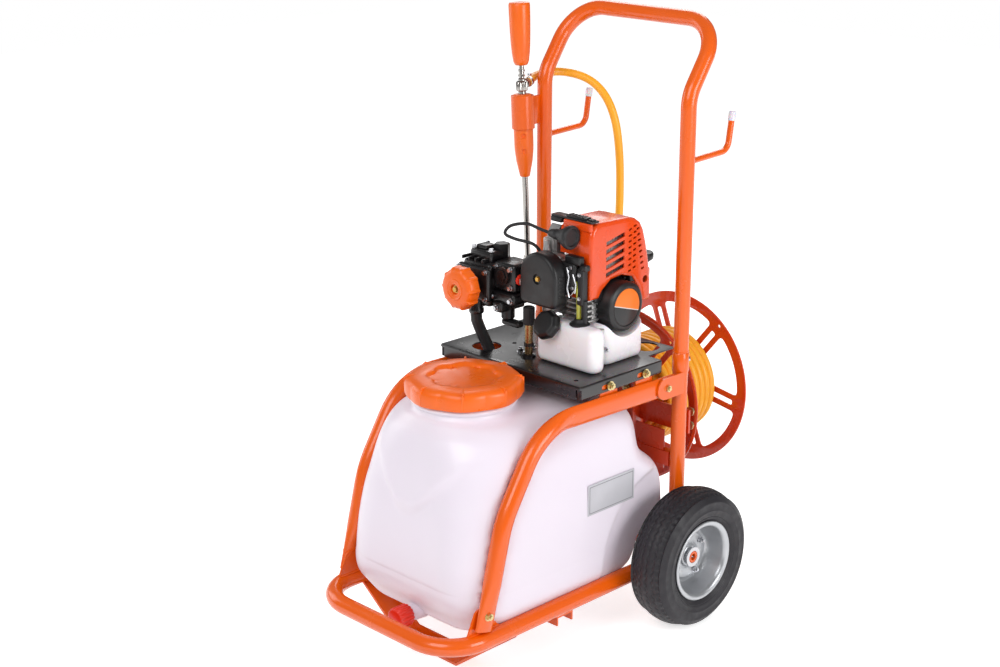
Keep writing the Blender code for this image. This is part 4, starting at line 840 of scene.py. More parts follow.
shapes = [turned([(0, 571.3), (20, 571.3), (20, 640), (12, 646), (0, 646)], (44, CRANK_Y, 0), (0, 0, 1),
                 40)]
FIN_CORNERS = ((-1, -0.7), (-0.8, -1), (0.8, -1), (1, -0.7), (1, 0.7), (0.8, 1), (-0.8, 1), (-1, 0.7))
fin = [(44 + 26 * a, CRANK_Y + 27 * b) for a, b in FIN_CORNERS]
for k in range(9):
    low = 578 + 7 * k
    shapes.append(prism(fin, "Z", low, low + 1.6))
shapes.append(slab((24, -117.7, 584), (48, -70, 606), 3, 2))
# the cast intake bracket that leans up to the plug
shapes.append(prism([(-117, 596), (-100, 596), (-98, 650), (-108, 654), (-119, 640)], "X", 6, 26))
shapes.append(slab((-2, -121, 606), (20, -104, 632), 3, 2))
piece("cylinder_block", gather(shapes), CAST_ALUMINIUM, stands_for=("cylinder",), crease=35)

# ---------------------------------------------------------------- engine cover
# Injection-moulded orange nylon hood over cylinder and fan: slanted louvres on the side, rows of
# small air holes near the rear corner, a screw hole low at the rear, open towards the pump.
# glass-filled nylon, moulded glossy: deeper and shinier than the caps
ORANGE_NYLON = surface("orange_nylon", ("#E84C06", "#E04404"), rough=0.26, patch=60, grain=1.6,
                       relief=0.02, spread=0.05, Coat_Weight=0.3, Coat_Roughness=0.1)
hood_outline = [(-118, 545), (-118, 644), (-116, 655), (-109, 663), (-98, 667), (-30, 665), (-14, 661),
                (-2, 653), (6, 640), (13, 618), (20, 588), (25, 556), (26, 520), (6, 520), (-3, 545),
                (-20, 566), (-45, 573), (-70, 570), (-90, 556), (-98, 545)]
outer = prism(hood_outline, "X", 34, 100)
bmesh.ops.recalc_face_normals(outer, faces=outer.faces)
side_edges = [e for e in outer.edges if all(abs(v.co.x - 100) < 1e-3 for v in e.verts)]
bmesh.ops.bevel(outer, geom=side_edges, offset=7, segments=5, affect="EDGES", profile=0.5)
inner = prism([(-115, 500), (-115, 643), (-107, 660), (-97, 664), (-31, 662), (-15, 658), (-4, 650),
               (3, 638), (10, 617), (17, 587), (22, 556), (23, 500)], "X", 30, 97)
hood = carve(outer, inner)
openings = []
for k in range(5):
    low = 577 + 12.6 * k
    openings.append(prism([(-84, low), (-41, low + 9), (-41, low + 16.4), (-84, low + 7.4)], "X", 80,
                          110))
for k in range(8):
    for column, y in enumerate((-28, -17)):
        z = 578 + 9.6 * k + 4 * column
        openings.append(prism(capsule((y - 2.2, z - 0.6), (y + 2.2, z + 0.6), 1.7, 4), "X", 80, 110))
for k in range(8):
    z = 576 + 9.6 * k
    lean_in = (z - 576) * 0.19
    openings.append(prism(capsule((1 - lean_in, z), (5 - lean_in, z + 1), 1.9, 4), "X", 80, 110))
openings.append(turned([(0, 80), (6, 80), (6, 110), (0, 110)], (0, 10, 557), (1, 0, 0), 24))
openings.append(slab((8, -121, 576), (52, -110, 614)))
hood = carve(hood, gather(openings))
ROPE_SPOT = (62, 47, 0)
guide = carve(slab((53, 22, 548), (71, 57, 562), 3, 3),
              turned([(0, 540), (2.6, 540), (2.6, 570), (0, 570)], ROPE_SPOT, (0, 0, 1), 24))
rib = slab((40, -119.5, 655), (98, -112, 668), 2.5, 3)
piece("engine_hood", gather([hood, guide, rib]), ORANGE_NYLON,
      stands_for=("engine_shroud",), crease=30)
# the guard behind the louvres and the silencer inside
baffles = [slab((86, -88 + 4 * k, 575), (87.5, -85 + 4 * k, 652)) for k in range(14)]
piece("louvre_guard", gather(baffles), CAST_ALUMINIUM)
piece("silencer", slab((28, -25.7, 572), (94, 4, 630), 6, 4), BLACK_POWDER,
      stands_for=("muffler",))
# black nylon strap that holds the plug lead on top of the hood
strap = [slab((12, -117, 668.2), (98, -99, 671.6), 1, 2), slab((42, -115, 671), (84, -101, 675), 1.4, 3),
         slab((12, -119, 660), (36, -100, 669), 2.5, 3), slab((86, -113, 671), (96, -103, 674), 1.4, 2)]
strap += [slab((46 + 7 * k, -113, 674.4), (49.5 + 7 * k, -103, 676), 0.5, 2) for k in range(5)]
piece("lead_strap", gather(strap), BLACK_NYLON, crease=40)

# ---------------------------------------------------------------- recoil starter
# Black nylon drum on the engine's right side with a stepped rim; its round face carries a blank
# two-colour badge. The rope leaves at the rear and ends in a handle above its guide.
starter = turned([(0, 64.3), (45, 64.3), (45.3, 66), (45.3, 84), (44.6, 87), (42.2, 90), (41, 93),
                  (40.4, 112), (39.2, 115.4), (36, 117.6), (32.4, 118.6), (31, 118.2), (30.6, 117.2),
                  (0, 117.2)], (0, CRANK_Y, CRANK_Z), (1, 0, 0), 96)
shapes = [starter, slab((66, -104, 538), (96, -84, 560), 4, 3),
          slab((66, -98, 488), (84, -84, 512), 3, 3), slab((70, -22, 556), (96, -2, 572), 4, 3)]
for k in range(12):
    a = math.radians(60 + 22 * k)
    fin = slab((69, 43.2, -1.3), (93, 46.3, 1.3), 0.8, 2)
    fin.transform(Matrix.Translation((0, CRANK_Y, CRANK_Z)) @ Matrix.Rotation(a, 4, "X"))
    shapes.append(fin)
piece("recoil_drum", gather(shapes), BLACK_NYLON, stands_for=("starter_housing",),
      crease=35)
# printed vinyl badge: orange above a slanted line, black below, with a thin pale line between
BADGE = surface("badge_vinyl", ("#F07A1E", "#F07A1E"), rough=0.3, patch=60, grain=1.0, relief=0.004,
                spread=0.03)
tree = BADGE.node_tree
spot = add(tree, "ShaderNodeSeparateXYZ", {0: add(tree, "ShaderNodeTexCoord").outputs["Object"]}).outputs
rise = add(tree, "ShaderNodeMath", {0: spot["Y"], 1: 0.3, 2: spot["Z"]},
           operation="MULTIPLY_ADD").outputs[0]
split = (CRANK_Z - 2) / 1000 + 0.3 * (CRANK_Y / 1000 + AXLE_Y)
lower = add(tree, "ShaderNodeMath", {0: rise, 1: split}, operation="LESS_THAN").outputs[0]
band = add(tree, "ShaderNodeMath", {0: rise, 1: split, 2: 0.0006}, operation="COMPARE").outputs[0]
two = add(tree, "ShaderNodeMix", {0: lower, 6: linear("#F07A1E"), 7: linear("#101012")},
          data_type="RGBA")
three = add(tree, "ShaderNodeMix", {0: band, 6: two.outputs[2], 7: linear("#E8E4E0")}, data_type="RGBA")
tree.links.new(three.outputs[2], tree.nodes["Principled BSDF"].inputs["Base Color"])
badge = turned([(0, 117), (30, 117), (29.8, 117.7), (29, 118), (0, 118.2)], (0, CRANK_Y, CRANK_Z),
               (1, 0, 0), 96)
piece("badge", badge, BADGE)
handle = [turned([(0, 562), (7, 562), (8, 569), (12, 573), (17, 576.5), (18, 579), (18, 585),
                  (16.5, 587.6), (0, 589)], ROPE_SPOT, (0, 0, 1), 32)]
handle.append(turned([(0, 542), (1.8, 542), (1.8, 564), (0, 564)], ROPE_SPOT, (0, 0, 1), 12))
piece("rope_grip", gather(handle), BLACK_NYLON, "starter_handle", ("starter_handle",),
      crease=40)

# ---------------------------------------------------------------- carburettor and air cleaner
# Small die-cast carburettor behind a D-shaped black air cleaner; the cover is held by one brass
# screw in a dished seat. A choke knob stands out to the left and a throttle cable runs in above.
BOX_X = 29
CHOKE_SPOT = (BOX_X - 39, -152, 563)


def rounded(outline, axis, start, end, edge):
    """An extruded outline whose front edge is rounded."""
    bm = prism(outline, axis, start, end)
    bmesh.ops.recalc_face_normals(bm, faces=bm.faces)
    index = {"X": 0, "Y": 1, "Z": 2}[axis]
    rim = [e for e in bm.edges if all(abs(v.co[index] - start) < 1e-3 for v in e.verts)]
    bmesh.ops.bevel(bm, geom=rim, offset=edge, segments=5, affect="EDGES", profile=0.5)
    return bm


shell = (swept_arc((BOX_X, 580), 39, 0, 180, 28) + swept_arc((BOX_X - 29, 543), 10, 180, 270, 8)
         + swept_arc((BOX_X + 27, 545), 12, 270, 360, 8))
seat = turned([(0, -170), (8.4, -170), (8.4, -165), (7, -163), (0, -163)], (BOX_X, 0, 577), (0, 1, 0),
              40)
cover = carve(rounded(shell, "Y", -166, -141, 6), seat)
collar = [(BOX_X + (x - BOX_X) * 0.93, 576 + (z - 576) * 0.93) for x, z in shell]
back = prism(collar, "Y", -141.4, -136)
ribs = [slab((BOX_X + 38.6, -158, 552 + 6 * k), (BOX_X + 39.8, -145, 555 + 6 * k), 0.5, 2)
        for k in range(6)]
piece("air_cleaner", gather([cover, back] + ribs), BLACK_NYLON,
      stands_for=("airbox_cover",), crease=38)
# turned brass, slightly dulled
BRASS = surface("turned_brass", ("#C9A45A", "#B98F48"), rough=0.3, patch=8, grain=0.4, relief=0.01,
                spread=0.06, Metallic=1.0)
bolts("cleaner_screw", [((BOX_X, -163.2, 577), (0, -1, 0))], across=6.5, head=2.2, washer=8.5,
      material=BRASS)
shapes = [slab((10, -136, 578), (50, -118.5, 612), 3, 3), slab((-2, -134, 552), (14, -120, 606), 3, 2),
          turned([(0, 50), (7, 50), (7, 60), (5, 64), (0, 64)], (0, -127, 600), (1, 0, 0), 24),
          turned([(0, 600), (6, 600), (6, 618), (4, 622), (4, 630), (0, 630)], (14, -128, 0), (0, 0, 1),
                 24)]
piece("carburettor_body", gather(shapes), CAST_ALUMINIUM, stands_for=("carburettor",),
      crease=35)
# black intake and linkage pieces between the air cleaner and the hood
shapes = [slab((50, -139, 560), (84, -119, 606), 5, 3), slab((84, -135, 540), (97, -121, 600), 3, 3),
          slab((88, -134, 596), (102, -122, 606), 2.5, 2), slab((56, -141, 546), (70, -128, 600), 2, 2),
          slab((60, -137, 604), (92, -124, 618), 3, 3)]
for k in range(6):
    shapes.append(slab((69.6, -140, 556 + 7 * k), (73, -134, 560 + 7 * k), 0.8, 2))
piece("intake_duct", gather(shapes), BLACK_NYLON, crease=38)
links = [pipe([(70, -141.5, 600), (74, -141, 585), (71, -141.5, 566), (75, -141, 552)], 1.3, 8),
         pipe([(60, -142, 552), (78, -140, 556), (84, -137, 566)], 1.2, 8),
         pipe([(80, -139, 590), (86, -138, 574), (84, -138, 560)], 1.2, 8)]
piece("throttle_links", gather(links), BRIGHT_ZINC)
bolts("carburettor_screws", [((54, -140, 590), (0, -1, 0)), ((76, -139.5, 600), (0, -1, 0)),
                             ((80, -139.5, 568), (0, -1, 0)), ((91, -135.5, 590), (0, -1, 0)),
                             ((91, -135.5, 552), (0, -1, 0))], across=4.6, head=2, washer=6.5,
      material=BRIGHT_ZINC)
choke = turned([(0, 8.2), (6.5, 8.2), (8.2, 9.4, 0.3), (8.6, 12, 0.4), (7.4, 20, 0.3), (5.6, 21.6),
                (0, 22)], CHOKE_SPOT, (-1, 0, 0), 60, lambda a: math.cos(12 * a))
piece("choke_grip", choke, RED_ACETAL, "choke_knob", ("choke_knob",))
nut = [turned([(0, 0.4), (3.6, 0.4), (3.6, 8.4), (0, 8.4)], CHOKE_SPOT, (-1, 0, 0), 20)]
piece("choke_spindle", gather(nut), BRIGHT_ZINC, "choke_knob")
gland = [turned([(4.3, 0.2), (8.6, 0.2), (8.6, 5.4), (7.6, 6.4), (4.3, 6.4)], CHOKE_SPOT, (-1, 0, 0), 6,
                loop=True)]
piece("choke_nut", gather(gland), BRIGHT_ZINC, crease=20, edge=0.5)
# vulcanised rubber: matt black with a dusty bloom
BLACK_RUBBER = surface("black_rubber", ("#141416", "#1D1D20"), rough=0.55, patch=30, grain=1.0,
                       relief=0.04, spread=0.1)
boot = turned([(0, -4), (5.6, -4), (7, 0), (7.4, 6), (8.4, 8), (8.4, 10), (7.6, 12), (9, 18), (13, 25),
               (16.6, 31), (18.4, 35), (19, 38), (19, 41), (17.8, 42.6), (14.4, 42.8), (12.6, 40),
               (0, 39)], (34, -137, 647), (1, 0, 0), 48)
piece("spark_plug_boot", boot, BLACK_RUBBER, stands_for=("plug_boot",), crease=40)
cable = smooth_line([(8, -129, 604), (-6, -138, 622), (-34, -151, 628), (-50, -157, 635),
                     (-42, -152, 648), (-14, -145, 655), (10, -140, 650), (26, -137, 647),
                     (32, -137, 647)], 70)
shapes = [pipe(cable, 2.6, 14)]
piece("control_cable", gather(shapes), BLACK_RUBBER, stands_for=("throttle_cable",), crease=60)
# clear polyurethane fuel pipe gone green with petrol, in a black rubber grommet
FUEL_PIPE = surface("fuel_pipe_pu", ("#A7A63A", "#B8B449"), rough=0.22, patch=20, grain=1.5, relief=0.01,
                    spread=0.05, Subsurface_Weight=0.3, Subsurface_Scale=0.003)
fuel_route = smooth_line([(86, -130, 509), (86, -130, 530), (86, -131, 552), (85, -132, 566),
                          (84, -131, 578)], 40)
piece("fuel_pipe", pipe(fuel_route, 4.0, 20), FUEL_PIPE, stands_for=("fuel_line",),
      crease=60)
shapes = [turned([(0, 508), (16, 508), (16.4, 509.6), (14.6, 511.6), (11, 512.6), (9.6, 514), (8.4, 518),
                  (0, 518)], (88, -130, 0), (0, 0, 1), 40),
          pipe([(96, -128, 512), (96.5, -128, 530), (96, -128, 548)], 4.4, 18)]
piece("fuel_grommet", gather(shapes), BLACK_RUBBER, crease=50)

# ---------------------------------------------------------------- pump
# Piston-diaphragm pump flanged to the engine's gearbox: black coated castings with bright screws,
# an orange hand wheel with a brass screw that sets the pressure, and an outlet cock beneath.
PUMP_X = -95
PUMP_Z = 547
# black coated casting: semi-gloss with a coarse cast grain
BLACK_CASTING = surface("black_casting", ("#0E0C0E", "#151214"), rough=0.36, patch=30, grain=1.4,
                        relief=0.06, spread=0.09, Coat_Weight=0.2)
head = [slab((-128, -176, 512), (-66, -112, 584), 6, 3), slab((-133, -184, 522), (-62, -172, 578), 5, 3),
        slab((-122, -166, 580), (-72, -124, 600), 5, 3), slab((-116, -158, 598), (-92, -134, 606), 3, 3),
        turned([(0, 578), (13, 578), (14, 580), (14, 606), (12, 609), (0, 609)], (-82, -132, 0),
               (0, 0, 1), 6),
        turned([(0, -198), (15, -198), (16, -196), (16, -180), (20, -176), (20, -170), (0, -170)],
               (PUMP_X, 0, PUMP_Z), (0, 1, 0), 32), slab((-74, -170, 522), (-18, -108, 541), 5, 3),
        slab((-60, -176, 508), (-40, -120, 526), 4, 3), slab((-70, -164, 541), (-22, -118, 588), 6, 3),
        slab((-121, -116, 506), (-58.5, -30, 560), 6, 3),
        turned([(0, -170), (15, -170), (15, -112), (0, -112)], (-46, 0, 568), (0, 1, 0), 28),
        turned([(0, -172), (11, -172), (11, -168), (0, -168)], (-46, 0, 568), (0, 1, 0), 6),
        turned([(0, -60), (9, -60), (10, -58), (10, -30), (0, -30)], (0, -150, 548), (1, 0, 0), 24),
        slab((-138, -160, 530), (-126, -128, 562), 4, 3),
        slab((-132, -170, 502), (-100, -132, 516), 4, 3),
        turned([(0, 499), (11.4, 499), (12.4, 501), (12.4, 506), (11, 508), (11, 526), (0, 526)],
               (PUMP_X, -177, 0), (0, 0, 1), 32)]
for k in range(4):
    head.append(slab((-126 + 15 * k, -180, 584), (-123 + 15 * k, -122, 590), 1, 2))
piece("pump_castings", gather(head), BLACK_CASTING, stands_for=("pump_body",), crease=35)
for node in ("gearbox", "outlet_cock", "cock_lever"):
    finish_node(node, BLACK_CASTING if node == "gearbox" else BLACK_NYLON)
front = (0, -1, 0)
spots = [((x, -184.4, z), front) for x in (-128, -67) for z in (528, 572)]
spots += [((x, y, 600.4), (0, 0, 1)) for x, y in ((-117, -161), (-77, -161), (-117, -129))]
spots += [((-30, -164.6, 580), front), ((-62, -164.6, 580), front), ((-30, -164.6, 550), front),
          ((-24, -170.6, 531), front), ((-66, -170.6, 531), front), ((-138.6, -144, 546), (-1, 0, 0)),
          ((-50, -176.6, 516), front)]
bolts("pump_screws", spots, across=6.4, head=4.2, washer=9, material=BRIGHT_ZINC)


def grips(angle):
    """Ten raised finger grips."""
    return max(0.0, math.cos(10 * angle)) ** 3


HAND_WHEEL_Y = -192
wheel_centre = (PUMP_X, HAND_WHEEL_Y, PUMP_Z)
wheel = turned([(0, -29.6), (8, -29.6), (8.4, -33.2), (9.6, -34.2), (14, -34.4), (21.5, -33.6),
                (26, -32.8), (30, -31.2, 0.5), (32.4, -28.4, 1), (33.4, -25, 1), (33.6, -14, 1),
                (33, -10, 1), (30, -7.4, 0.5), (25, -6.4), (0, -6.4)], wheel_centre, (0, 1, 0), 240,
               lambda a: 2.4 * grips(a))
piece("pressure_wheel", wheel, ORANGE_PP, "pump_handwheel", ("pump_handwheel",),
      crease=40)
ring = [turned([(13.4, -34.1), (16, -35.2), (17.2, -34.9), (18, -33.8), (15.6, -33)], wheel_centre,
               (0, 1, 0), 64, loop=True)]
piece("wheel_ring", gather(ring), ORANGE_PP, "pump_handwheel")
bolts("wheel_screw", [((PUMP_X, HAND_WHEEL_Y - 29.4, PUMP_Z), front)], across=8, head=3.2, washer=12,
      material=BRASS, body="pump_handwheel")
finish_node("suction_hose", BLACK_RUBBER)
finish_node("suction_strainer", BLACK_NYLON)

# ---------------------------------------------------------------- engine post
# A plated tube with a rubber bush carries the pump end of the set above the tray.
ENGINE_POST = (-7, -146, 0)
# dull chromium over brass: browns a little where it reflects
DULL_CHROME = surface("dull_chrome", ("#A88B62", "#8F7654"), rough=0.25, patch=14, grain=0.5,
                      relief=0.01, spread=0.08, Metallic=1.0)
post = [turned([(0, 438.3), (6.5, 438.3), (6.5, 491), (0, 491)], ENGINE_POST, (0, 0, 1), 32)]
piece("post_tube", gather(post), DULL_CHROME, stands_for=("engine_post",))
rings = [turned([(6.5, 455), (8, 455.4), (8, 460.6), (6.5, 461)], ENGINE_POST, (0, 0, 1), 32, loop=True),
         turned([(0, 438.1), (12, 438.1), (12, 441), (9, 443), (0, 443)], ENGINE_POST, (0, 0, 1), 32)]
piece("post_collars", gather(rings), BLACK_POWDER)
finish_node("post_bush", BLACK_RUBBER)
bolts("tray_bolts", [((-31, -140, TRAY_TOP), (0, 0, 1)), ((-31, -112, TRAY_TOP), (0, 0, 1)),
                     ((112, -98, 466), (1, 0, 0))], across=8, head=5, washer=13, material=BRIGHT_ZINC,
      end=3)

# ---------------------------------------------------------------- reel bearing
# A flat bar bolted across the posts carries the reel's shaft; a lower stay braces the posts. Both
# are coated a redder orange than the trolley, like the reel.
REEL_Z = 318
# polyester powder coat in signal red-orange, same gloss and ripple as the trolley's
RED_POWDER = surface("red_powder_coat", ("#D8400F", "#CC3A0C"), rough=0.26, patch=120, grain=2.2,
                     relief=0.016, spread=0.05, Coat_Weight=0.4, Coat_Roughness=0.1)
for node in ("reel_bracket", "reel_stay"):
    finish_node(node, RED_POWDER)
# turned steel, bright zinc plated
finish_node("reel_shaft", BRIGHT_ZINC)
bore = turned([(0, 30), (13, 30), (13, 60), (0, 60)], (0, 0, REEL_Z), (0, 1, 0), 32)
cheek = carve(slab((-52, 41, 268), (52, 46, 372), 1, 2), bore)
plates = [cheek, slab((-60, 35, 268), (-56, 62, 368), 1, 2), slab((56, 35, 268), (60, 62, 368), 1, 2),
          slab((66, 34, 232), (128, 38, 300), 1, 2)]
piece("bearing_plates", gather(plates), RED_POWDER, crease=40)
bolts("bearing_bolts", [((side * 154, 67.6, z), (0, 1, 0)) for side in (1, -1) for z in (306, 330)]
      + [((side * 40, 40.6, z), (0, -1, 0)) for side in (1, -1) for z in (284, 352)], across=10, head=5,
      washer=16, material=YELLOW_ZINC, end=2)

# ---------------------------------------------------------------- hose reel
# Two pressed steel discs with six pairs of spokes, rolled edges and a drum between them, which
# turn together on the shaft. The hose lies on the drum in neat turns, four layers deep.
REEL_R = 152
REEL_FACES = {"front": (90, 93), "rear": (219, 222)}
SPOKE_TURN = 51
SPOKE_OUT = 14                    # from the middle of a spoke pair to its outer edge
SPOKE_IN = 5.5                    # and half the slot between its spokes


def reel_disc(start, end):
    """Outline with six wide windows and six slots, its edges rolled."""
    outlines = [swept_arc((0, 0), REEL_R - 1, 0, 357, 119)]
    inner, outer = 50, REEL_R - 18

    def corner(radius, angle):
        return Vector((radius * math.cos(math.radians(angle)), radius * math.sin(math.radians(angle))))

    def softened(points, radius):
        soft = []
        for k, here in enumerate(points):
            before, after = points[k - 1], points[(k + 1) % len(points)]
            if (here - before).length < radius or (after - here).length < radius:
                soft.append(here)
                continue
            first = here + (before - here).normalized() * radius
            last = here + (after - here).normalized() * radius
            soft += [first.lerp(here, t / 5).lerp(here.lerp(last, t / 5), t / 5) for t in range(6)]
        return soft

    def aside(radius, distance):
        return math.degrees(math.asin(distance / radius))

    low, high = inner + 8, outer
    for k in range(6):
        a = SPOKE_TURN + 60 * k
        wide, tight = aside(high, SPOKE_OUT), aside(low, SPOKE_OUT)
        rim = [Vector(p) for p in swept_arc((0, 0), high, a + wide + 5, a + 55 - wide, 12)]
        hub = [Vector(p) for p in swept_arc((0, 0), low, a + 54 - tight, a + tight + 6, 4)]
        window = ([corner(high, a + wide)] + rim
                  + [corner(high, a + 60 - wide), corner(low, a + 60 - tight)] + hub
                  + [corner(low, a + tight)])
        outlines.append(softened(window, 10))
        wide, tight = aside(high - 8, SPOKE_IN), aside(low + 6, SPOKE_IN)
        slot = [corner(high - 8, a - wide), corner(high - 8, a + wide), corner(low + 6, a + tight),
                corner(low + 6, a - tight)]
        outlines.append(softened(slot, 4.5))
    outlines.append(swept_arc((0, 0), 10, 0, 345, 23))
    outlines.append([Vector(p) + corner(142.5, SPOKE_TURN) for p in swept_arc((0, 0), 3.4, 0, 340, 17)])
    flat = bpy.data.curves.new("disc", "CURVE")
    flat.dimensions = "2D"
    flat.fill_mode = "BOTH"
    flat.extrude = (end - start) / 2 - 0.9
    flat.bevel_depth = 0.9
    flat.bevel_resolution = 2
    for outline in outlines:
        loop = flat.splines.new("POLY")
        loop.use_cyclic_u = True
        loop.points.add(len(outline) - 1)
        for knot, place in zip(loop.points, outline):
            knot.co = (place[0], place[1], 0, 1)
    holder = bpy.data.objects.new("disc", flat)
    mesh = bpy.data.meshes.new_from_object(holder)
    bm = bmesh.new()
    bm.from_mesh(mesh)
    bpy.data.objects.remove(holder)
    bpy.data.curves.remove(flat)
    bpy.data.meshes.remove(mesh)
    middle = (0, (start + end) / 2, REEL_Z)
    bm.transform(Matrix.Translation(middle) @ Matrix.Rotation(math.pi / 2, 4, "X"))
    bmesh.ops.remove_doubles(bm, verts=bm.verts, dist=1e-3)
    return bm


for word, (start, end) in REEL_FACES.items():
    outward = -1 if word == "front" else 1
    face = start if word == "front" else end
    bosses = [turned([(10.4, face - outward), (34, face - outward), (34, face + outward * 1.4),
                      (31, face + outward * 2.4), (16, face + outward * 2.4), (14, face + outward * 4.5),
                      (10.4, face + outward * 4.5)], (0, 0, REEL_Z), (0, 1, 0), 64, loop=True),
              turned([(146, face - outward), (150.5, face - outward), (150.5, face + outward * 0.8),
                      (148.4, face + outward * 1.8), (146, face + outward * 0.8)], (0, 0, REEL_Z),
                     (0, 1, 0), 160, loop=True)]
    piece(f"reel_disc_{word}", gather([reel_disc(start, end)] + bosses), RED_POWDER, "reel",
          (f"reel_flange_{word}",), crease=40)
    spots = [((24 * math.cos(math.radians(a)), face + outward * 2.4,
               REEL_Z + 24 * math.sin(math.radians(a))), (0, outward, 0)) for a in (21, 111, 201, 291)]
    bolts(f"hub_bolts_{word}", spots, across=7, head=3, washer=11, material=BRIGHT_ZINC, body="reel")
finish_node("reel_drum", RED_POWDER)


def hose_tree():
    """A node tree that puts a ring of hose round every point, facing along the shaft."""
    tree = bpy.data.node_groups.new("hose_turns", "GeometryNodeTree")
    for name, kind in (("Geometry", "NodeSocketGeometry"), ("Hose", "NodeSocketFloat"),
                       ("Finish", "NodeSocketMaterial")):
        tree.interface.new_socket(name, in_out="INPUT", socket_type=kind)
    tree.interface.new_socket("Geometry", in_out="OUTPUT", socket_type="NodeSocketGeometry")
    given = add(tree, "NodeGroupInput").outputs
    circle = add(tree, "GeometryNodeCurvePrimitiveCircle", {"Resolution": 72, "Radius": 1.0})
    spin = add(tree, "GeometryNodeTransform",
               {"Geometry": circle.outputs[0], "Rotation": (math.pi / 2, 0, 0)})
    size = add(tree, "GeometryNodeInputNamedAttribute", {"Name": "facing"}, data_type="FLOAT_VECTOR")
    parts = add(tree, "ShaderNodeSeparateXYZ", {0: size.outputs[0]})
    scale = add(tree, "ShaderNodeCombineXYZ",
                {"X": parts.outputs[0], "Y": parts.outputs[0], "Z": parts.outputs[0]})
    spread = add(tree, "GeometryNodeInstanceOnPoints",
                 {"Points": given["Geometry"], "Instance": spin.outputs[0], "Scale": scale.outputs[0]})
    real = add(tree, "GeometryNodeRealizeInstances", {0: spread.outputs[0]})
    section = add(tree, "GeometryNodeCurvePrimitiveCircle", {"Resolution": 12, "Radius": given["Hose"]})
    body = add(tree, "GeometryNodeCurveToMesh",
               {"Curve": real.outputs[0], "Profile Curve": section.outputs[0]})
    smooth = add(tree, "GeometryNodeSetShadeSmooth", {"Geometry": body.outputs[0], "Shade Smooth": True})
    coated = add(tree, "GeometryNodeSetMaterial",
                 {"Geometry": smooth.outputs[0], "Material": given["Finish"]})
    add(tree, "NodeGroupOutput", {0: coated.outputs[0]})
    return tree


LAYERS = 4
TURN_PITCH = 13.5
turn_spots, turn_sizes = [], []
for layer in range(LAYERS):
    for k in range(9 - layer % 2):
        turn_spots.append((0, 100.6 + TURN_PITCH * k + TURN_PITCH / 2 * (layer % 2), REEL_Z))
        turn_sizes.append((0.0852 - 0.0118 * layer, 0, 0))
turns = grown("hose_turns", turn_spots, turn_sizes, hose_tree(), {"Hose": 0.0068, "Finish": PVC_HOSE},
              PVC_HOSE, "reel")
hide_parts("hose_winding")

knob_angle = math.radians(SPOKE_TURN + 180)
knob_spot = (142 * math.cos(knob_angle), 222, REEL_Z + 142 * math.sin(knob_angle))
knob = turned([(0, 4), (11, 4), (12.6, 6), (11.4, 12), (11.6, 20), (13.4, 34), (14, 46), (13.4, 60),
               (11.6, 70), (9, 74), (5, 75), (0, 75)], knob_spot, (0, 1, 0), 48)
piece("crank_knob", knob, BLACK_NYLON, "reel_knob", ("reel_knob",), crease=40)
pin = turned([(0, -3.4), (7, -3.4), (7, -6.4), (0, -6.4)], knob_spot, (0, 1, 0), 6)
piece("crank_pin", gather([pin, turned([(0, -4), (4, -4), (4, 5), (0, 5)], knob_spot, (0, 1, 0), 20)]),
      BRIGHT_ZINC, "reel")

# ---------------------------------------------------------------- spray gun
# A gun without a lever: twisting the upper grip opens it. Orange polypropylene grips on a plated
# tube, clamped in a rolled sheet sleeve on the left post; the lance hangs below.
# bright chromium plate: near mirror, a little warm
BRIGHT_CHROME = surface("bright_chrome", ("#B9B6B2", "#A8A39E"), rough=0.16, patch=25, grain=0.6,
                        relief=0.006, spread=0.05, Metallic=1.0)
sleeve = turned([(16.5, -27.5), (19, -27.5), (19, 27.5), (16.5, 27.5)], gun_mid, lean, 64, loop=True)
flags = [slab((-159.5, 8.2, 772), (-156.2, 29, 819), 0.8, 2),
         slab((-155.4, 8.2, 772), (-152.6, 29, 819), 0.8, 2)]
piece("clip_sleeve", gather([sleeve] + flags), ORANGE_POWDER, stands_for=("gun_sleeve",),
      crease=35, edge=0.5)
bolts("clip_bolts", [((-159.8, 19, z), (-1, 0, 0)) for z in (783, 808)], across=6, head=3, washer=9,
      material=BRIGHT_ZINC)
grip = turned([(0, -108), (7.4, -108), (8.6, -106.6), (9.4, -102), (13.6, -82), (15.6, -64), (16, -56),
               (16, 27), (14, 29.2), (9, 29.6), (0, 29.6)], gun_mid, lean, 48)
pockets = []
for height in (-38, -64):
    pocket = slab((-3.4, -19, height - 4), (3.4, -13.2, height + 4), 1.4, 3)
    leaning = Matrix.Translation(gun_mid) @ Matrix.Rotation(-GUN_LEAN, 4, "Y")
    pocket.transform(leaning @ Matrix.Rotation(math.radians(45), 4, "Z"))
    pockets.append(pocket)
lower_grip = carve(grip, gather(pockets))
seams = turned([(15.8, -30.6), (16.4, -30), (16.4, -28.4), (15.8, -28)], gun_mid, lean, 48, loop=True)
piece("rear_grip", gather([lower_grip, seams]), ORANGE_PP, stands_for=("gun_lower_grip",),
      crease=38)
neck = [turned([(0, 30), (6.4, 30), (6.4, 34), (8.6, 35), (9.4, 36, 0.5), (9.4, 49, 0.5), (8.6, 50),
                (6, 51.5), (6, 54), (4.2, 56), (4.2, 76.7), (0, 76.7)], gun_mid, lean, 96,
               lambda a: math.cos(24 * a)), turned([(4.2, 58), (6, 58.4), (6, 61.4), (4.2, 62)], gun_mid,
                                                   lean, 6, loop=True),
        turned([(4.2, 66), (5.6, 66.4), (5.6, 70), (4.2, 70.4)], gun_mid, lean, 32, loop=True)]
piece("gun_body", gather(neck), BRIGHT_CHROME, stands_for=("gun_neck",), crease=35)
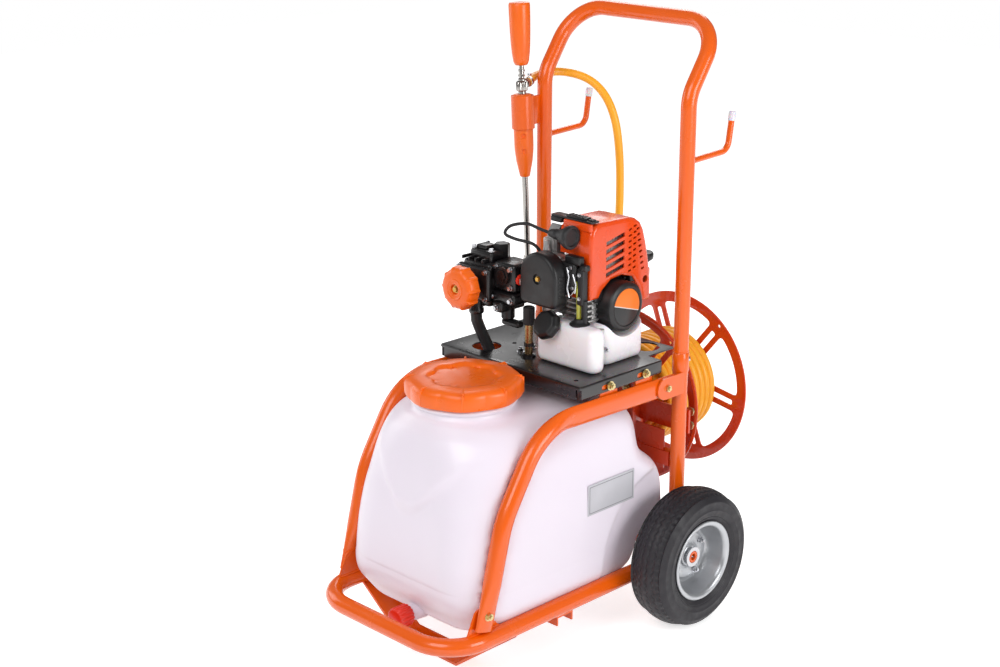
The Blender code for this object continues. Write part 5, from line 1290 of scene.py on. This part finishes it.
twist = turned([(0, 77), (9.4, 77), (10.6, 78), (12.8, 83), (14.8, 96), (16, 112), (16.9, 132),
                (17.4, 152), (17.6, 174), (17, 177), (16, 178.2), (14, 178.5), (0, 178.5)], gun_mid,
               lean, 56)
piece("twist_grip", twist, ORANGE_PP, "gun_twist_grip", ("gun_twist_grip",), crease=45)
tube = [turned([(0, -275), (3, -275), (4, -272), (7.6, -271), (8, -269), (8, -258), (6.6, -256.6),
                (5.2, -255), (5.2, -108.3), (0, -108.3)], gun_mid, lean, 40),
        turned([(5, -252), (7.6, -251.4), (7.6, -244), (5, -243.4)], gun_mid, lean, 6, loop=True)]
piece("lance_tube", gather(tube), BRIGHT_CHROME, stands_for=("lance",), crease=35)
elbow = [turned([(0, 7), (4.4, 7), (4.8, 11), (4.8, 13), (7.4, 13.4), (7.8, 14.4), (7.8, 20), (7, 20.8),
                 (6.3, 21.4), (6.3, 23), (0, 23)], elbow_spot, elbow_way, 6),
         turned([(0, 6), (5, 6), (5, 23.1), (0, 23.1)], elbow_spot, elbow_way, 32)]
piece("hose_union", gather(elbow), BRIGHT_CHROME, stands_for=("hose_elbow",), crease=35)
band = turned([(7.05, 1), (8.0, 1.4), (8.0, 7.6), (7.05, 8)], elbow_spot + elbow_way * 24, elbow_way, 40,
              loop=True)
piece("hose_clamp", gather([band, slab((-172, 15, 850.5), (-166, 21, 855), 0.8, 2)]), BRIGHT_ZINC,
      crease=35)

# ---------------------------------------------------------------- wheels
# Small pneumatic wheels on ball bearings: a steel disc pressed in two halves, painted silver grey,
# and a black cord tyre with zigzag ribs. Washers and a split pin keep each on the axle.
TYRE_R = 115
WHEEL_X = 216
AXLE_END = 226
TEETH = 56
TREAD_DEPTH = 1.3
# carbon-black tyre rubber: matt, slightly blue, brushed by the mould's vents
TYRE_RUBBER = surface("tyre_rubber", ("#17151A", "#201D24"), rough=0.56, patch=35, grain=1.2,
                      relief=0.06, spread=0.1)
# silver wheel paint: fine metallic flake under a thin clear coat
SILVER_PAINT = surface("silver_wheel_paint", ("#AEB0B4", "#BDBFC2"), rough=0.34, patch=40, grain=0.5,
                       relief=0.012, spread=0.06, Metallic=0.7, Coat_Weight=0.2)
half_tyre = [(58.8, 28.7), (67.6, 28.7), (70, 30.6), (73, 32.8), (74.4, 33.6), (75.4, 33.2),
             (76.6, 34.2), (80, 35.2), (84, 36.1), (85, 36.9), (86.4, 36.9), (87.4, 36.2), (92, 36.4),
             (97, 35.8), (98.4, 36.3), (100.2, 35.8), (101.4, 34.6), (105, 32.4), (108.6, 29.6)]


def zigzag(angle, teeth):
    """A triangular wave between -1 and 1."""
    part = (angle * teeth / (2 * math.pi)) % 1
    return 4 * abs(part - 0.5) - 1


def tyre(centre, outward):
    """Sidewalls from a profile and a tread band with four zigzag grooves and edge notches."""
    crown = [26.6 - 0.95 * k for k in range(57)]
    columns = half_tyre + [(None, w) for w in crown] + [(r, -w) for r, w in half_tyre[::-1]]
    sides = 6 * TEETH
    grooves = (-16.5, -5.6, 5.6, 16.5)
    bm = bmesh.new()
    rows = []
    for radius, width in columns:
        row = []
        for k in range(sides):
            angle = 2 * math.pi * k / sides
            r = radius
            if r is None:
                r = TYRE_R - 0.0105 * width * width
                swing = zigzag(angle, TEETH)
                cut = max(max(0.0, 1 - abs(width - line - 1.9 * swing) / 2.0) for line in grooves)
                if abs(width) > 21.5 and swing > 0.1:
                    cut = max(cut, min(1.0, (abs(width) - 21.5) / 2))
                r -= TREAD_DEPTH * min(1.0, cut * 1.8)
            row.append(bm.verts.new(Vector(centre)
                                    + Vector((outward * width, r * math.cos(angle),
                                              r * math.sin(angle)))))
        rows.append(row)
    for low, high in zip(rows, rows[1:] + rows[:1]):
        for k in range(sides):
            n = (k + 1) % sides
            bm.faces.new((low[k], low[n], high[n], high[k]))
    return bm


half_rim = [(66.5, 31.5), (66.9, 30.4), (66.3, 29.2), (64.2, 29), (59.4, 29)]
disc = [(10.3, 9), (13.8, 9), (13.8, 3.4), (17, 3), (18.4, 1.8), (19.6, -1), (24, -3), (28, -2.6),
        (33, -1.4), (38, -1.6), (40.6, -4), (43, -5.4), (47, -5), (49.6, -2), (52, 6), (54.6, 16),
        (56.4, 24), (57.6, 28.6), (60, 30.8), (63, 32), (65.4, 32.2)]
for side, word in ((1, "right"), (-1, "left")):
    centre = (side * WHEEL_X, 0, AXLE_Z)
    body = f"wheel_{word}"
    piece(f"tyre_tread_{word}", tyre(centre, side), TYRE_RUBBER, body, (f"tyre_{word}",),
          crease=42)
    inside = [(r, -x) for r, x in half_rim[::-1]] + [(65.4, -32), (58.4, -29.4), (56.8, -26), (56.8, -8),
                                                     (46, -8), (13.8, -8.4), (13.8, -24), (10.3, -24)]
    profile = disc + half_rim + [(58.7, 0)] + inside
    disc_mesh = turned(profile, centre, (side, 0, 0), 96, loop=True)
    valve = turned([(0, -4), (3, -4), (3, 6), (2.2, 8), (2.2, 13), (0, 13.4)], Vector(centre)
                   + Vector((0, 44 * math.cos(2.4), 44 * math.sin(2.4))), (side, 0, 0), 16)
    piece(f"rim_disc_{word}", gather([disc_mesh]), SILVER_PAINT, body, (f"rim_{word}",),
          crease=38)
    piece(f"valve_{word}", gather([valve]), BLACK_RUBBER, body)
    rings = [turned([(10.3, 9.0), (17, 9.0), (16.6, 10.4), (10.3, 10.4)], centre, (side, 0, 0), 48,
                    loop=True)]
    piece(f"bearing_{word}", gather(rings), BRIGHT_ZINC, body)
    spots = [(Vector(centre) + Vector((side * -1.6, 35 * math.cos(a), 35 * math.sin(a))), (side, 0, 0))
             for a in [math.radians(30 + 90 * k) for k in range(4)]]
    bolts(f"rim_bolts_{word}", spots, across=8.5, head=5, washer=12, material=BRIGHT_ZINC, body=body,
          end=3)
    ends = [turned([(5.6, -1.2), (9.4, -1.2), (9.4, 0.2), (8.8, 0.9), (6.2, 0.9), (5.6, 0.2)],
                   (side * AXLE_END, 0, AXLE_Z), (side, 0, 0), 40, loop=True)]
    piece(f"axle_end_{word}", gather(ends), ORANGE_POWDER)
    pin = pipe([(side * 222.8, -13.5, AXLE_Z + 8), (side * 222.8, 14, AXLE_Z - 8)], 1.5, 12)
    piece(f"split_pin_{word}", gather([pin]), BRIGHT_ZINC)

# ---------------------------------------------------------------- studio
# A seamless white floor and background with large soft lamps; the floor keeps a faint shadow.
WHITE = bpy.data.materials.new("studio_white")
WHITE.use_nodes = True
tree = WHITE.node_tree
tree.nodes.remove(tree.nodes["Principled BSDF"])
matt = add(tree, "ShaderNodeBsdfDiffuse", {"Color": linear("#F2F2F2")})
glow = add(tree, "ShaderNodeEmission", {"Strength": 0.62})
rays = add(tree, "ShaderNodeLightPath").outputs
seen = add(tree, "ShaderNodeMath", {0: rays["Is Camera Ray"], 1: rays["Is Glossy Ray"]},
           operation="MAXIMUM")
both = add(tree, "ShaderNodeAddShader", {0: matt.outputs[0], 1: glow.outputs[0]})
mixed = add(tree, "ShaderNodeMixShader", {0: seen.outputs[0], 1: matt.outputs[0], 2: both.outputs[0]})
tree.links.new(mixed.outputs[0], tree.nodes["Material Output"].inputs["Surface"])
sheet = bmesh.new()
bmesh.ops.create_grid(sheet, x_segments=1, y_segments=1, size=6)
floor_mesh = bpy.data.meshes.new("floor")
sheet.to_mesh(floor_mesh)
sheet.free()
floor_mesh.materials.append(WHITE)
floor = bpy.data.objects.new("floor", floor_mesh)
bpy.context.collection.objects.link(floor)
floor.location.z = -0.0006

world = bpy.data.worlds.new("studio")
bpy.context.scene.world = world
world.use_nodes = True
tree = world.node_tree
sky = tree.nodes["Background"]
sky.inputs["Color"].default_value = (1, 1, 1, 1)
rays = add(tree, "ShaderNodeLightPath").outputs
seen = add(tree, "ShaderNodeMath", {0: rays["Is Camera Ray"], 1: rays["Is Transmission Ray"]},
           operation="MAXIMUM")
level = add(tree, "ShaderNodeMapRange", {"Value": seen.outputs[0], "To Min": 0.5, "To Max": 1.0})
dimmed = add(tree, "ShaderNodeMath", {0: rays["Is Glossy Ray"], 1: -0.3, 2: level.outputs[0]},
             operation="MULTIPLY_ADD")
tree.links.new(dimmed.outputs[0], sky.inputs["Strength"])


def lamp(name, place, aim, size, power):
    """A square soft box, placed and aimed in millimetres."""
    light = bpy.data.lights.new(name, "AREA")
    light.size = size
    light.energy = power
    holder = bpy.data.objects.new(name, light)
    bpy.context.collection.objects.link(holder)
    holder.location = at(*place)
    holder.rotation_euler = (at(*aim) - holder.location).to_track_quat("-Z", "Y").to_euler()


lamp("key", (600, -2400, 2300), (0, -100, 400), size=1.6, power=37)
lamp("side", (2500, 200, 1100), (0, 0, 350), size=1.2, power=30)
lamp("back", (-1500, 1900, 2200), (0, 0, 500), size=1.6, power=26)
lamp("left", (-2500, -900, 1100), (0, -100, 400), size=1.4, power=14)
bpy.context.scene.view_settings.view_transform = "Standard"
